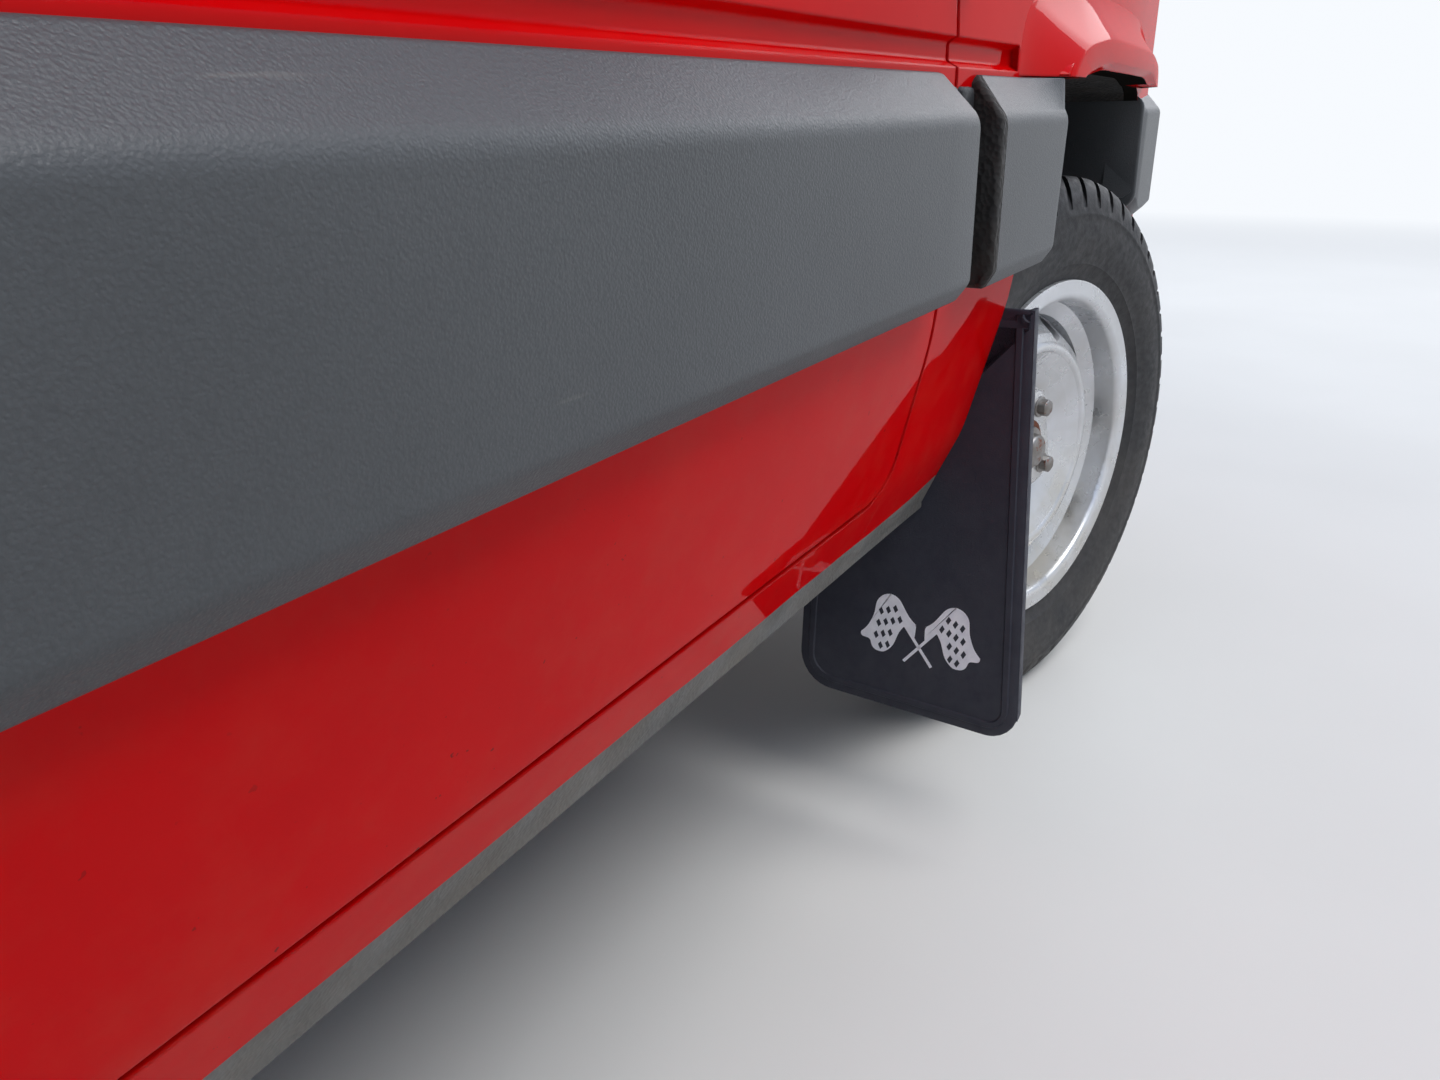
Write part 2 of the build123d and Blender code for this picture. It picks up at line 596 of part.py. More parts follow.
def build_body():
    """The shell, glass, doors, bonnet and tailgate."""
    outer = body_block()
    core = body_block(side=SIDE_WALL, top=-40, bottom=OPEN_BELOW, nose=-40, screen=-40, tail=-40)
    slabs = outer - core
    middle = outer & core
    cabin = body_block(
        side=SIDE_WALL, top=ROOF_WALL, bottom=OPEN_BELOW, nose=NOSE_WALL, screen=SCREEN_WALL, tail=TAIL_WALL
    )
    bay = body_block(side=WING_SKIN, top=WING_SKIN, bottom=OPEN_BELOW, nose=NOSE_WALL)
    arches = both(arch_outline(REAR_AXLE_X), 300, 900) + both(arch_outline(FRONT_AXLE_X), 300, 900)
    grooves = groove(GROOVE_REAR_X, GROOVE_FRONT_X)
    door_hole = prism(door_outline(PANEL_GAP), "y", -FAR, FAR)
    door_form = prism(door_outline(), "y", -FAR, FAR)
    door_window = prism(door_window_outline(), "y", -FAR, FAR)
    quarter_window = prism(quarter_window_outline(), "y", -FAR, FAR)
    wing_rear_x = DOOR_FRONT_X + PANEL_GAP
    notch_half = HINGE_LENGTH / 2 + PANEL_GAP
    pane = body_block(side=GLASS_INSET, bottom=OPEN_BELOW)
    pane = pane - body_block(side=GLASS_INSET + GLASS, bottom=OPEN_BELOW)

    # Side frames: sill, pillars, rail and rear quarter in one, with the front post behind the wing
    frame_area = [
        (-FAR, 0),
        (wing_rear_x, 0),
        (wing_rear_x, BELT_Z),
        (FAR, BELT_Z),
        (FAR, FAR),
        (-FAR, FAR),
    ]
    post_area = [
        (wing_rear_x - 60, SILL_Z - 50),
        (FIREWALL_X + FIREWALL_WALL, SILL_Z - 50),
        (FIREWALL_X + FIREWALL_WALL, BELT_Z),
        (wing_rear_x, BELT_Z),
        (wing_rear_x, DOOR_BOTTOM_Z - PANEL_GAP),
        (wing_rear_x - 60, DOOR_BOTTOM_Z - PANEL_GAP),
    ]
    frames = slabs & prism(frame_area, "y", -FAR, FAR)
    inner = body_block(side=WING_SKIN + SEAM, bottom=0) - core
    frames = frames + (inner & prism(post_area, "y", -FAR, FAR))
    lamp_tool = box(-FAR, TAIL_X + TAIL_LAMP_WRAP, TAIL_LAMP_INNER, FAR, TAIL_LAMP_FOOT_Z, TAIL_LAMP_HEAD_Z)
    lamp_tools = [lamp_tool, mirrored(lamp_tool)]
    frames = cut(frames, door_hole, quarter_window, *arches[:2], *grooves, *lamp_tools)
    flares = {}
    for end, axle_x, turn in (
        ("front", FRONT_AXLE_X, FRONT_FLARE_TURN),
        ("rear", REAR_AXLE_X, REAR_FLARE_TURN),
    ):
        root = WAIST_HALF - 40
        ring = Solid.extrude_taper(
            Face(outline(arch_outline(axle_x, FLARE_WIDTH), place("y", root))),
            Vector(0, FLARE_PROUD + 40, 0),
            FLARE_SLOPE,
        )
        near = axle_x - ARCH_SHOULDER_HALF if turn < 0 else axle_x + ARCH_SHOULDER_HALF
        ring = ring.rotate(Axis((near, WAIST_HALF, 0), (0, 0, 1)), turn)
        ring = cut(ring, prism(arch_outline(axle_x), "y", 300, 900))
        ring = ring & box(-FAR, FAR, 600, 900, BAND_TOP_Z + 2, FAR)
        ring = ring - body_block(side=2)
        flares[end] = ring
    # Rear flares are part of the side frame, front flares of the wing
    for name, side in SIDES.items():
        half_space = box(-FAR, FAR, 0, FAR, -100, FAR)
        frame = frames & on_side(half_space, side)
        frame = frame + on_side(flares["rear"], side)
        write(f"side_frame_{name}", frame)

    # Roof with both headers
    roof_area = [
        (FAR, ROOF_PANEL_FOOT_Z),
        (FAR, FAR),
        (-FAR, FAR),
        (-FAR, TAILGATE_HEAD_Z + PANEL_GAP),
        (TAIL_HEAD_X + GATE_DEPTH, TAILGATE_HEAD_Z + PANEL_GAP),
        (TAIL_HEAD_X + GATE_DEPTH, ROOF_PANEL_FOOT_Z),
    ]
    roof = (middle - cabin) & prism(roof_area, "y", -FAR, FAR)
    pin_z = TAILGATE_HEAD_Z + PANEL_GAP / 2
    gate_pin = (line_x(GATE_BELT, GATE_HEAD, pin_z) - 3, pin_z)
    ear_rows = [
        (gate_pin[0], gate_pin[1] - HINGE_R),
        (gate_pin[0] + 22, gate_pin[1] + PANEL_GAP),
        (gate_pin[0] + 22, gate_pin[1] + 20),
        (gate_pin[0] + 8, gate_pin[1] + 20),
        (gate_pin[0] - HINGE_R, gate_pin[1]),
    ]
    lug_rows = [
        (gate_pin[0] - HINGE_R, gate_pin[1]),
        (gate_pin[0] - HINGE_R, gate_pin[1] - 20),
        (gate_pin[0] - 2, gate_pin[1] - 34),
        (gate_pin[0] + 18, gate_pin[1] - 34),
        (gate_pin[0] + HINGE_R, gate_pin[1]),
    ]
    ears, gate_lug = barrel_hinge("y", gate_pin, GATE_HINGE_Y, ear_rows, lug_rows)
    gate_notch = box(
        -FAR, 0, GATE_HINGE_Y - notch_half, GATE_HINGE_Y + notch_half, TAILGATE_HEAD_Z - 18, FAR
    )
    lug_half, clear = HINGE_LENGTH / 6 + 2, HINGE_R + 2
    relief = box(
        -FAR, gate_pin[0] + clear, GATE_HINGE_Y - lug_half, GATE_HINGE_Y + lug_half, 0, gate_pin[1] + clear
    )
    roof = cut(roof, relief, mirrored(relief))
    write("roof_panel", roof + ears + mirrored(ears))

    # Cowl and firewall
    cowl_top = BELT_Z + 20
    cowl_area = [
        (FIREWALL_X, BELT_Z - 60),
        (SCREEN_FOOT_X + 25, BELT_Z - 60),
        (SCREEN_FOOT_X + 25, cowl_top),
        (FIREWALL_X, cowl_top),
    ]
    cowl = (middle - cabin) & prism(cowl_area, "y", -FAR, FAR)
    pin_x = BONNET_REAR_X + 3
    pin = (pin_x, surface_z(SCREEN_FOOT, NOSE_TOP, pin_x) - HINGE_R - 1)
    ear_rows = [
        (SCREEN_FOOT_X + 20, pin[1] - HINGE_R),
        (pin[0], pin[1] - HINGE_R),
        (pin[0], pin[1] + HINGE_R),
        (SCREEN_FOOT_X + 20, pin[1] + HINGE_R),
    ]
    lug_rows = [
        (pin[0], pin[1] - HINGE_R),
        (pin[0] + 28, pin[1] - HINGE_R),
        (pin[0] + 28, pin[1] + HINGE_R - 3),
        (pin[0], pin[1] + HINGE_R),
    ]
    ears, bonnet_lug = barrel_hinge("y", pin, BONNET_HINGE_Y, ear_rows, lug_rows)
    cowl = cowl + ears + mirrored(ears)
    bonnet_notch = box(0, pin[0] + 18, BONNET_HINGE_Y - notch_half, BONNET_HINGE_Y + notch_half, 0, FAR)
    wall = box(FIREWALL_X, FIREWALL_X + FIREWALL_WALL, -FAR, FAR, FLOOR_Z, BELT_Z - 10)
    wall = wall + box(FIREWALL_X, SCREEN_FOOT_X - 35, -FAR, FAR, BELT_Z - 35, BELT_Z - 10)
    wall = wall & body_block(side=SIDE_WALL, top=ROOF_WALL - 8, screen=SCREEN_WALL - 10)
    wall = cut(wall, tunnel_space(FIREWALL_X - 50, FIREWALL_X + 50), *front_rails())

    # Front wings with the flares above the front wheels
    wing_area = [
        (wing_rear_x, 0),
        (NOSE_PANEL_REAR_X - SEAM, 0),
        (NOSE_PANEL_REAR_X - SEAM, NOSE_TOP_Z - BONNET_SKIN - 2),
        (FAR, NOSE_TOP_Z - BONNET_SKIN - 2),
        (FAR, BELT_Z - SEAM),
        (wing_rear_x, BELT_Z - SEAM),
    ]
    wings = (outer - bay) & prism(wing_area, "y", -FAR, FAR)
    wings = cut(wings, prism(bonnet_outline(-FAR, PANEL_GAP), "z", 0, FAR))
    wings = cut(wings, *arches[2:], *grooves)
    wings = wings + flares["front"] + mirrored(flares["front"])
    pin = (DOOR_FRONT_X + 3, WAIST_HALF + 6)
    ear_rows = [
        (pin[0], pin[1] - 6.5),
        (wing_rear_x + 1, pin[1] - 6.5),
        (wing_rear_x + 1, BELT_HALF - 2),
        (wing_rear_x + 20, BELT_HALF - 2),
        (wing_rear_x + 20, pin[1] - 4),
        (wing_rear_x + 10, pin[1] + HINGE_R),
        (pin[0], pin[1] + HINGE_R),
    ]
    lug_rows = [
        (pin[0], pin[1] - 6.5),
        (pin[0], pin[1] + HINGE_R),
        (DOOR_FRONT_X - 10, pin[1] + HINGE_R),
        (DOOR_FRONT_X - 20, pin[1] - 4),
        (DOOR_FRONT_X - 20, BELT_HALF - 2),
        (DOOR_FRONT_X - 0.5, BELT_HALF - 2),
        (DOOR_FRONT_X - 0.5, pin[1] - 6.5),
    ]
    door_lugs = []
    for height in DOOR_HINGE_HEIGHTS:
        ears, lug = barrel_hinge("z", pin, height, ear_rows, lug_rows)
        wings = wings + ears + mirrored(ears)
        door_lugs.append(lug)
    write("front_wings", wings)
    write("cowl_panel", cut(cowl + wall, *wings.solids()))

    # Nose panel with the grille and lamp openings
    nose_area = [
        (NOSE_PANEL_REAR_X, 0),
        (FAR, 0),
        (FAR, NOSE_TOP_Z - BONNET_SKIN - PANEL_GAP),
        (NOSE_PANEL_REAR_X, NOSE_TOP_Z - BONNET_SKIN - PANEL_GAP),
    ]
    nose = (outer - bay) & prism(nose_area, "y", -FAR, FAR)
    lamp = box(NOSE_PANEL_REAR_X, FAR, LAMP_INNER, LAMP_OUTER, LAMP_FOOT_Z, LAMP_HEAD_Z)
    nose = cut(nose, lamp, mirrored(lamp))
    slot = (LAMP_HEAD_Z - LAMP_FOOT_Z) / (2 * GRILLE_SLOTS - 1)
    for i in range(GRILLE_SLOTS):
        foot = LAMP_FOOT_Z + 2 * i * slot
        nose = nose - box(NOSE_PANEL_REAR_X, FAR, -LAMP_INNER + 40, LAMP_INNER - 40, foot, foot + slot)
    write("front_panel", nose)
    lens = (outer - body_block(nose=NOSE_WALL, bottom=OPEN_BELOW)) & lamp
    write("headlamps", lens, mirrored(lens))

    # Bonnet
    skin = outer - body_block(side=-50, top=BONNET_SKIN, bottom=OPEN_BELOW, nose=-50)
    bonnet = skin & prism(bonnet_outline(BONNET_REAR_X), "z", 0, FAR)
    bonnet = cut(bonnet, bonnet_notch, mirrored(bonnet_notch)) + bonnet_lug + mirrored(bonnet_lug)
    write("bonnet", bonnet)

    # Rear panel round the opening, tailgate, its glass and the lamps on the corners
    tail_space = box(-FAR, TAIL_HEAD_X + GATE_DEPTH - PANEL_GAP, -FAR, FAR, 0, FAR)
    tail = (middle - cabin) & tail_space
    gate_hole = prism(gate_outline(PANEL_GAP), "x", -FAR, FAR)
    rear = tail & box(-FAR, 0, -FAR, FAR, 0, TAILGATE_HEAD_Z + PANEL_GAP)
    write("rear_panel", cut(rear, gate_hole, *lamp_tools))
    shell = outer - body_block(side=LAMP_WALL, top=0, bottom=OPEN_BELOW, tail=LAMP_WALL)
    tail_lens = shell & lamp_tool
    write("rear_lamps", tail_lens, mirrored(tail_lens))
    gate = tail & prism(gate_outline(), "x", -FAR, FAR)
    glass_rows = [
        (-GATE_GLASS_FOOT_HALF, WINDOW_FOOT_Z, 35),
        (GATE_GLASS_FOOT_HALF, WINDOW_FOOT_Z, 35),
        (GATE_GLASS_HEAD_HALF, WINDOW_HEAD_Z + 15, 35),
        (-GATE_GLASS_HEAD_HALF, WINDOW_HEAD_Z + 15, 35),
    ]
    glass_tool = prism(glass_rows, "x", -FAR, 0)
    gate = cut(gate, glass_tool, gate_notch, mirrored(gate_notch)) + gate_lug + mirrored(gate_lug)
    write("tailgate", gate)
    gate_pane = body_block(tail=GLASS_INSET, bottom=OPEN_BELOW)
    gate_pane = gate_pane - body_block(tail=GLASS_INSET + GLASS, bottom=OPEN_BELOW)
    write("tailgate_glass", gate_pane & glass_tool)

    # Windscreen and rear quarter glass
    foot = (line_x(SCREEN_FOOT, SCREEN_HEAD, cowl_top), cowl_top)
    head = (line_x(SCREEN_FOOT, SCREEN_HEAD, ROOF_PANEL_FOOT_Z), ROOF_PANEL_FOOT_Z)
    lean = math.hypot(1, (SCREEN_HEAD_X - SCREEN_FOOT_X) / (HEADER_Z - BELT_Z))
    near, far = GLASS_INSET * lean, (GLASS_INSET + GLASS) * lean
    screen_rows = [
        (foot[0] - far, foot[1]),
        (foot[0] - near, foot[1]),
        (head[0] - near, head[1]),
        (head[0] - far, head[1]),
    ]
    windscreen = prism(screen_rows, "y", -FAR, FAR) & core
    quarter = pane & quarter_window
    write("fixed_glass", windscreen, *quarter.solids())

    # Doors
    door_slab = (slabs & door_form) - door_window
    door_slab = cut(door_slab, *grooves)
    door_panes = pane & door_window
    for name, side in SIDES.items():
        half_space = on_side(box(-FAR, FAR, 0, FAR, -100, FAR), side)
        door = door_slab & half_space
        for lug in door_lugs:
            door = door + on_side(lug, side)
        write(f"door_{name}", door)
        write(f"door_glass_{name}", door_panes & half_space)

    # Side bands
    door_band = band_solid(DOOR_REAR_X + 6, DOOR_FRONT_X - BAND_GAP / 2 + PANEL_GAP / 2) - outer
    wing_band = band_solid(DOOR_FRONT_X + BAND_GAP / 2 + PANEL_GAP / 2, FRONT_AXLE_X) - outer
    wing_band = wing_band - prism(arch_outline(FRONT_AXLE_X), "y", 300, 900)
    rear_band = band_solid(REAR_AXLE_X, DOOR_REAR_X - PANEL_GAP - 6) - outer
    rear_band = rear_band - prism(arch_outline(REAR_AXLE_X), "y", 300, 900)
    write("body_bands", wing_band, mirrored(wing_band), rear_band, mirrored(rear_band))
    for name, side in SIDES.items():
        trim = [on_side(door_band, side)]
        trim += [on_side(s, side) for s in door_fittings()]
        write(f"door_trim_{name}", *trim)

    build_bumpers(outer)
    build_tubs()


def door_fittings():
    """The left door's mirror on its arm and the pull handle."""
    y = BELT_HALF - 6
    half = MIRROR_ARM / 2
    foot = MIRROR_Z - MIRROR_HALF_HEIGHT
    arm = box(MIRROR_X - half, MIRROR_X + half, y - 12, y + 45, foot, foot + 30)
    head = prism(
        [
            (y + 25, MIRROR_Z - MIRROR_HALF_HEIGHT, 18),
            (y + 25 + 2 * MIRROR_HALF_WIDTH, MIRROR_Z - MIRROR_HALF_HEIGHT, 18),
            (y + 25 + 2 * MIRROR_HALF_WIDTH, MIRROR_Z + MIRROR_HALF_HEIGHT, 18),
            (y + 25, MIRROR_Z + MIRROR_HALF_HEIGHT, 18),
        ],
        "x",
        MIRROR_X - MIRROR_DEPTH / 2,
        MIRROR_X + MIRROR_DEPTH / 2,
    )
    mirror = (arm + head) - body_block()
    x = DOOR_REAR_X + 70
    low, high = HANDLE_Z - HANDLE_HALF_HEIGHT, HANDLE_Z + HANDLE_HALF_HEIGHT
    handle = box(x, x + HANDLE_LENGTH, BELT_HALF - 30, WAIST_HALF + HANDLE_PROUD, low, high) - body_block()
    return [mirror, handle]


def build_bumpers(outer):
    """The two bumpers, wrapped round the corners to the wheel arches."""
    sides = [-BUMPER_SIDE_PROUD] * 3
    grow = sides + [-NOSE_BUMPER_DEPTH + 5] + sides + [-TAIL_BUMPER_DEPTH]
    ring = prism(inset(PLAN, grow), "z", BUMPER_BOTTOM_Z, BAND_TOP_Z) - body_block(bottom=OPEN_BELOW)
    end = ARCH_SHOULDER_HALF + BUMPER_ARCH_GAP
    front = ring & box(FRONT_AXLE_X + end, FAR, -FAR, FAR, 0, FAR)
    front = front - prism(arch_outline(FRONT_AXLE_X, BUMPER_ARCH_GAP), "y", -FAR, FAR)
    write("front_bumper", front)
    rear = ring & box(-FAR, REAR_AXLE_X - end, -FAR, FAR, 0, FAR)
    rear = rear - prism(arch_outline(REAR_AXLE_X, BUMPER_ARCH_GAP), "y", -FAR, FAR)
    write("rear_bumper", rear)


def build_tubs():
    """The four inner wheel arches, open below."""
    tubs = []
    for axle_x, inner, skin in (
        (FRONT_AXLE_X, FRONT_TUB_INNER, WING_SKIN),
        (REAR_AXLE_X, REAR_TUB_INNER, SIDE_WALL),
    ):
        shell = prism(arch_outline(axle_x, TUB_WALL), "y", inner, 900)
        shell = shell - prism(arch_outline(axle_x), "y", inner + TUB_WALL, 900)
        shell = shell & body_block(side=skin, bottom=OPEN_BELOW)
        low = FRONT_TUB_FOOT_Z if axle_x > 0 else REAR_FLOOR_Z
        shell = shell & box(-FAR, FAR, 0, FAR, low, FAR)
        tubs += [shell, mirrored(shell)]
    write("wheel_tubs", *tubs)


def tunnel_rows(top):
    """The tunnel in cross-section: its outer face, or the space below it when top is 0."""
    inner = TUNNEL_HALF + (15 if top else 0)
    crest = FLOOR_Z + TUNNEL_RISE + top
    return [
        (-inner, FLOOR_Z + top, 10),
        (-inner + 30, crest, 20),
        (inner - 30, crest, 20),
        (inner, FLOOR_Z + top, 10),
    ]


def tunnel_space(x0, x1):
    """The open space below the tunnel, with everything under the floor there."""
    rows = [(-TUNNEL_HALF, -50, 0)] + tunnel_rows(0) + [(TUNNEL_HALF, -50, 0)]
    return prism(rows[::-1], "x", x0, x1)


def front_rails():
    """The two beams that carry the engine and the front subframe."""
    rail = box(FIREWALL_X - 40, NOSE_X, RAIL_IN, RAIL_OUT, RAIL_BOTTOM_Z, RAIL_BOTTOM_Z + RAIL_HEIGHT)
    rail = rail & body_block(side=WING_SKIN, top=WING_SKIN, bottom=OPEN_BELOW, nose=NOSE_WALL)
    return [rail, mirrored(rail)]


def build_floor():
    """The floor pan with its tunnel and front rails, and the raised floor over the rear axle."""
    half = WAIST_HALF
    top = FLOOR_Z + FLOOR_WALL
    pan_rows = [(-half, FLOOR_Z, 0)] + tunnel_rows(0) + [(half, FLOOR_Z, 0), (half, top, 0)]
    pan_rows += tunnel_rows(FLOOR_WALL)[::-1] + [(-half, top, 0)]
    room = body_block(side=SIDE_WALL, bottom=OPEN_BELOW, tail=TAIL_WALL)
    pan = prism(pan_rows, "x", HEEL_X, FIREWALL_X) & room
    right_rail, left_rail = (rail - pan for rail in front_rails()[::-1])
    right_rail = right_rail + towing_eye(NOSE_X - NOSE_WALL - 40, RAIL_BOTTOM_Z - 55, RAIL_BOTTOM_Z)
    write("floor_pan", pan, right_rail, left_rail)

    step = box(HEEL_X - FLOOR_WALL, HEEL_X, -half, half, FLOOR_Z, REAR_FLOOR_Z + FLOOR_WALL)
    step = step - tunnel_space(HEEL_X - 100, HEEL_X + 10)
    floor = step + box(TAIL_X, HEEL_X, -half, half, REAR_FLOOR_Z, REAR_FLOOR_Z + FLOOR_WALL)
    floor = floor & room
    floor = cut(floor, *both(arch_outline(REAR_AXLE_X, TUB_WALL), REAR_TUB_INNER, 900))
    for x in (REAR_AXLE_X - SPRING_HALF_SPAN, REAR_AXLE_X + SPRING_HALF_SPAN):
        hanger = box(x - 22, x + 22, SPRING_Y - 24, SPRING_Y + 24, SPRING_EYE_Z - 10, REAR_FLOOR_Z)
        hanger = hanger - box(x - 40, x + 40, SPRING_Y - 19, SPRING_Y + 19, 0, SPRING_EYE_Z + 26)
        floor = floor + hanger + mirrored(hanger)
    floor = floor + towing_eye(TAIL_X + TAIL_WALL + 52, REAR_FLOOR_Z - 135, REAR_FLOOR_Z)
    write("rear_floor", floor)


def towing_eye(x, foot, head):
    """A plate with a round hole, hanging on the right side."""
    plate = [
        (x - 30, head, 0),
        (x - 30, foot, 28),
        (x + 30, foot, 28),
        (x + 30, head, 0),
    ]
    eye = prism(plate, "y", -TOW_EYE_Y - TOW_EYE_WALL / 2, -TOW_EYE_Y + TOW_EYE_WALL / 2)
    return eye - rod((x, -TOW_EYE_Y - 20, foot + 30), (x, -TOW_EYE_Y + 20, foot + 30), TOW_EYE_R)


def build_running_gear():
    """Rear axle with its springs, driveline, subframe, engine, tank and exhaust."""
    # Rear axle with leaf springs
    tube = rod((REAR_AXLE_X, -REAR_TUBE_END, AXLE_Z), (REAR_AXLE_X, REAR_TUBE_END, AXLE_Z), AXLE_TUBE_R)
    diff = Solid.make_sphere(DIFF_R).moved(Location((REAR_AXLE_X, 0, AXLE_Z)))
    axle = tube + diff
    for side in (RIGHT, LEFT):
        inner, outer = side * (REAR_TUBE_END - 12), side * REAR_TUBE_END
        plate = rod((REAR_AXLE_X, inner, AXLE_Z), (REAR_AXLE_X, outer, AXLE_Z), 100)
        axle = axle + plate
        top = AXLE_Z + AXLE_TUBE_R - 6
        pad = box(REAR_AXLE_X - 45, REAR_AXLE_X + 45, SPRING_Y - 22, SPRING_Y + 22, AXLE_Z, top + 6)
        leaf_bottom = top + 6
        rows_low = (REAR_AXLE_X, leaf_bottom)
        ends = [REAR_AXLE_X - SPRING_HALF_SPAN, REAR_AXLE_X + SPRING_HALF_SPAN]
        low = Edge.make_three_point_arc(
            Vector(ends[0], SPRING_Y - 18, SPRING_EYE_Z - 8),
            Vector(rows_low[0], SPRING_Y - 18, rows_low[1]),
            Vector(ends[1], SPRING_Y - 18, SPRING_EYE_Z - 8),
        )
        high = Edge.make_three_point_arc(
            Vector(ends[1], SPRING_Y - 18, SPRING_EYE_Z + 8),
            Vector(rows_low[0], SPRING_Y - 18, rows_low[1] + SPRING_LEAF),
            Vector(ends[0], SPRING_Y - 18, SPRING_EYE_Z + 8),
        )
        wire = Wire(
            [
                low,
                Edge.make_line(low @ 1, high @ 0),
                high,
                Edge.make_line(high @ 1, low @ 0),
            ]
        )
        leaf = Solid.extrude(Face(wire), Vector(0, 36, 0))
        for x in ends:
            leaf = leaf + rod((x, SPRING_Y - 19, SPRING_EYE_Z), (x, SPRING_Y + 19, SPRING_EYE_Z), 16)
        spring = pad + leaf
        axle = axle + on_side(spring, side)
    write("rear_axle", axle)

    # Engine as one plain block, on the front crossmember that carries the lower arms
    engine = box(*ENGINE_X, *ENGINE_Y, SUBFRAME_TOP_Z, ENGINE_TOP_Z)
    write("engine_block", engine)
    beam_foot = SUBFRAME_TOP_Z - 75
    shaft_z = SUBFRAME_TOP_Z + 30
    beam = box(ENGINE_X[0] - 30, ENGINE_X[0] + 110, -RAIL_OUT, RAIL_OUT, beam_foot, SUBFRAME_TOP_Z)
    for low, high in ((ENGINE_X[0] - 30, FRONT_AXLE_X - 28), (FRONT_AXLE_X + 28, ENGINE_X[0] + 110)):
        post = box(low, high, RAIL_IN, RAIL_OUT, beam_foot, RAIL_BOTTOM_Z)
        beam = beam + post + mirrored(post)
    for side in (RIGHT, LEFT):
        arm_rows = [
            (ENGINE_X[0] - 20, RAIL_OUT - 60, 15),
            (ENGINE_X[0] + 100, RAIL_OUT - 60, 15),
            (FRONT_AXLE_X + 22, KINGPIN_Y + 16, 15),
            (FRONT_AXLE_X - 22, KINGPIN_Y + 16, 15),
        ]
        arm = prism(arm_rows, "z", ARM_Z - 14, ARM_Z + 8)
        face = ENGINE_Y[1] if side == LEFT else -ENGINE_Y[0]
        joint = (FRONT_AXLE_X, KINGPIN_Y, AXLE_Z)
        relief = rod((FRONT_AXLE_X, face - 60, shaft_z), joint, SHAFT_R + PANEL_GAP)
        beam = beam - on_side(relief, side)
        arm = arm + box(ENGINE_X[0], ENGINE_X[0] + 80, RAIL_OUT - 60, RAIL_OUT, ARM_Z - 14, beam_foot + 5)
        ball_top = (FRONT_AXLE_X, KINGPIN_Y, KNUCKLE_FOOT_Z - REST_GAP)
        ball = rod((FRONT_AXLE_X, KINGPIN_Y, ARM_Z), ball_top, 11)
        beam = beam + on_side(arm + ball, side)
    write("front_subframe", beam)

    # Front drive shafts and the long shaft to the rear axle
    shafts = []
    for side, face in ((RIGHT, -ENGINE_Y[0]), (LEFT, ENGINE_Y[1])):
        cup = Solid.make_sphere(CUP_R).moved(Location((FRONT_AXLE_X, KINGPIN_Y, AXLE_Z)))
        lift = shaft_z
        shaft = rod((FRONT_AXLE_X, face, lift), (FRONT_AXLE_X, KINGPIN_Y, AXLE_Z), SHAFT_R)
        boot = rod((FRONT_AXLE_X, face, lift), (FRONT_AXLE_X, face + 12, lift), 28)
        shafts.append(on_side(cup + shaft + boot, side) - engine)
    run = rod((ENGINE_X[0], 0, PROP_Z + 30), (REAR_AXLE_X + DIFF_R - 8, 0, AXLE_Z + 12), PROP_R)
    run = run - Solid.make_sphere(DIFF_R).moved(Location((REAR_AXLE_X, 0, AXLE_Z)))
    run = run - engine
    write("drive_shafts", *shafts, run)

    # Fuel tank under the rear floor
    tank_rows = [
        (TANK_X[0], TANK_Z, 25),
        (TANK_X[1], TANK_Z, 25),
        (TANK_X[1], REAR_FLOOR_Z, 0),
        (TANK_X[0], REAR_FLOOR_Z, 0),
    ]
    write("fuel_tank", prism(tank_rows, "y", *TANK_Y))

    # Exhaust: a bent pipe and a silencer across the tail
    route = FilletPolyline(*EXHAUST_ROUTE, radius=EXHAUST_BEND)
    pipe = sweep(Plane(origin=route @ 0, z_dir=route % 0) * Circle(EXHAUST_R), path=route)
    x, y, z = EXHAUST_CAN
    can = rod((x, y - EXHAUST_CAN_HALF, z), (x, y + EXHAUST_CAN_HALF, z), EXHAUST_CAN_R)
    stay = box(x - 15, x + 15, y - 30, y + 30, z, REAR_FLOOR_Z)
    write("exhaust", (pipe - engine) + can + stay)


def steered(shape, side):
    """A front wheel piece, turned to the angle at which the car is parked."""
    return shape.rotate(Axis((FRONT_AXLE_X, side * KINGPIN_Y, 0), (0, 0, 1)), STEER_AT_REST)


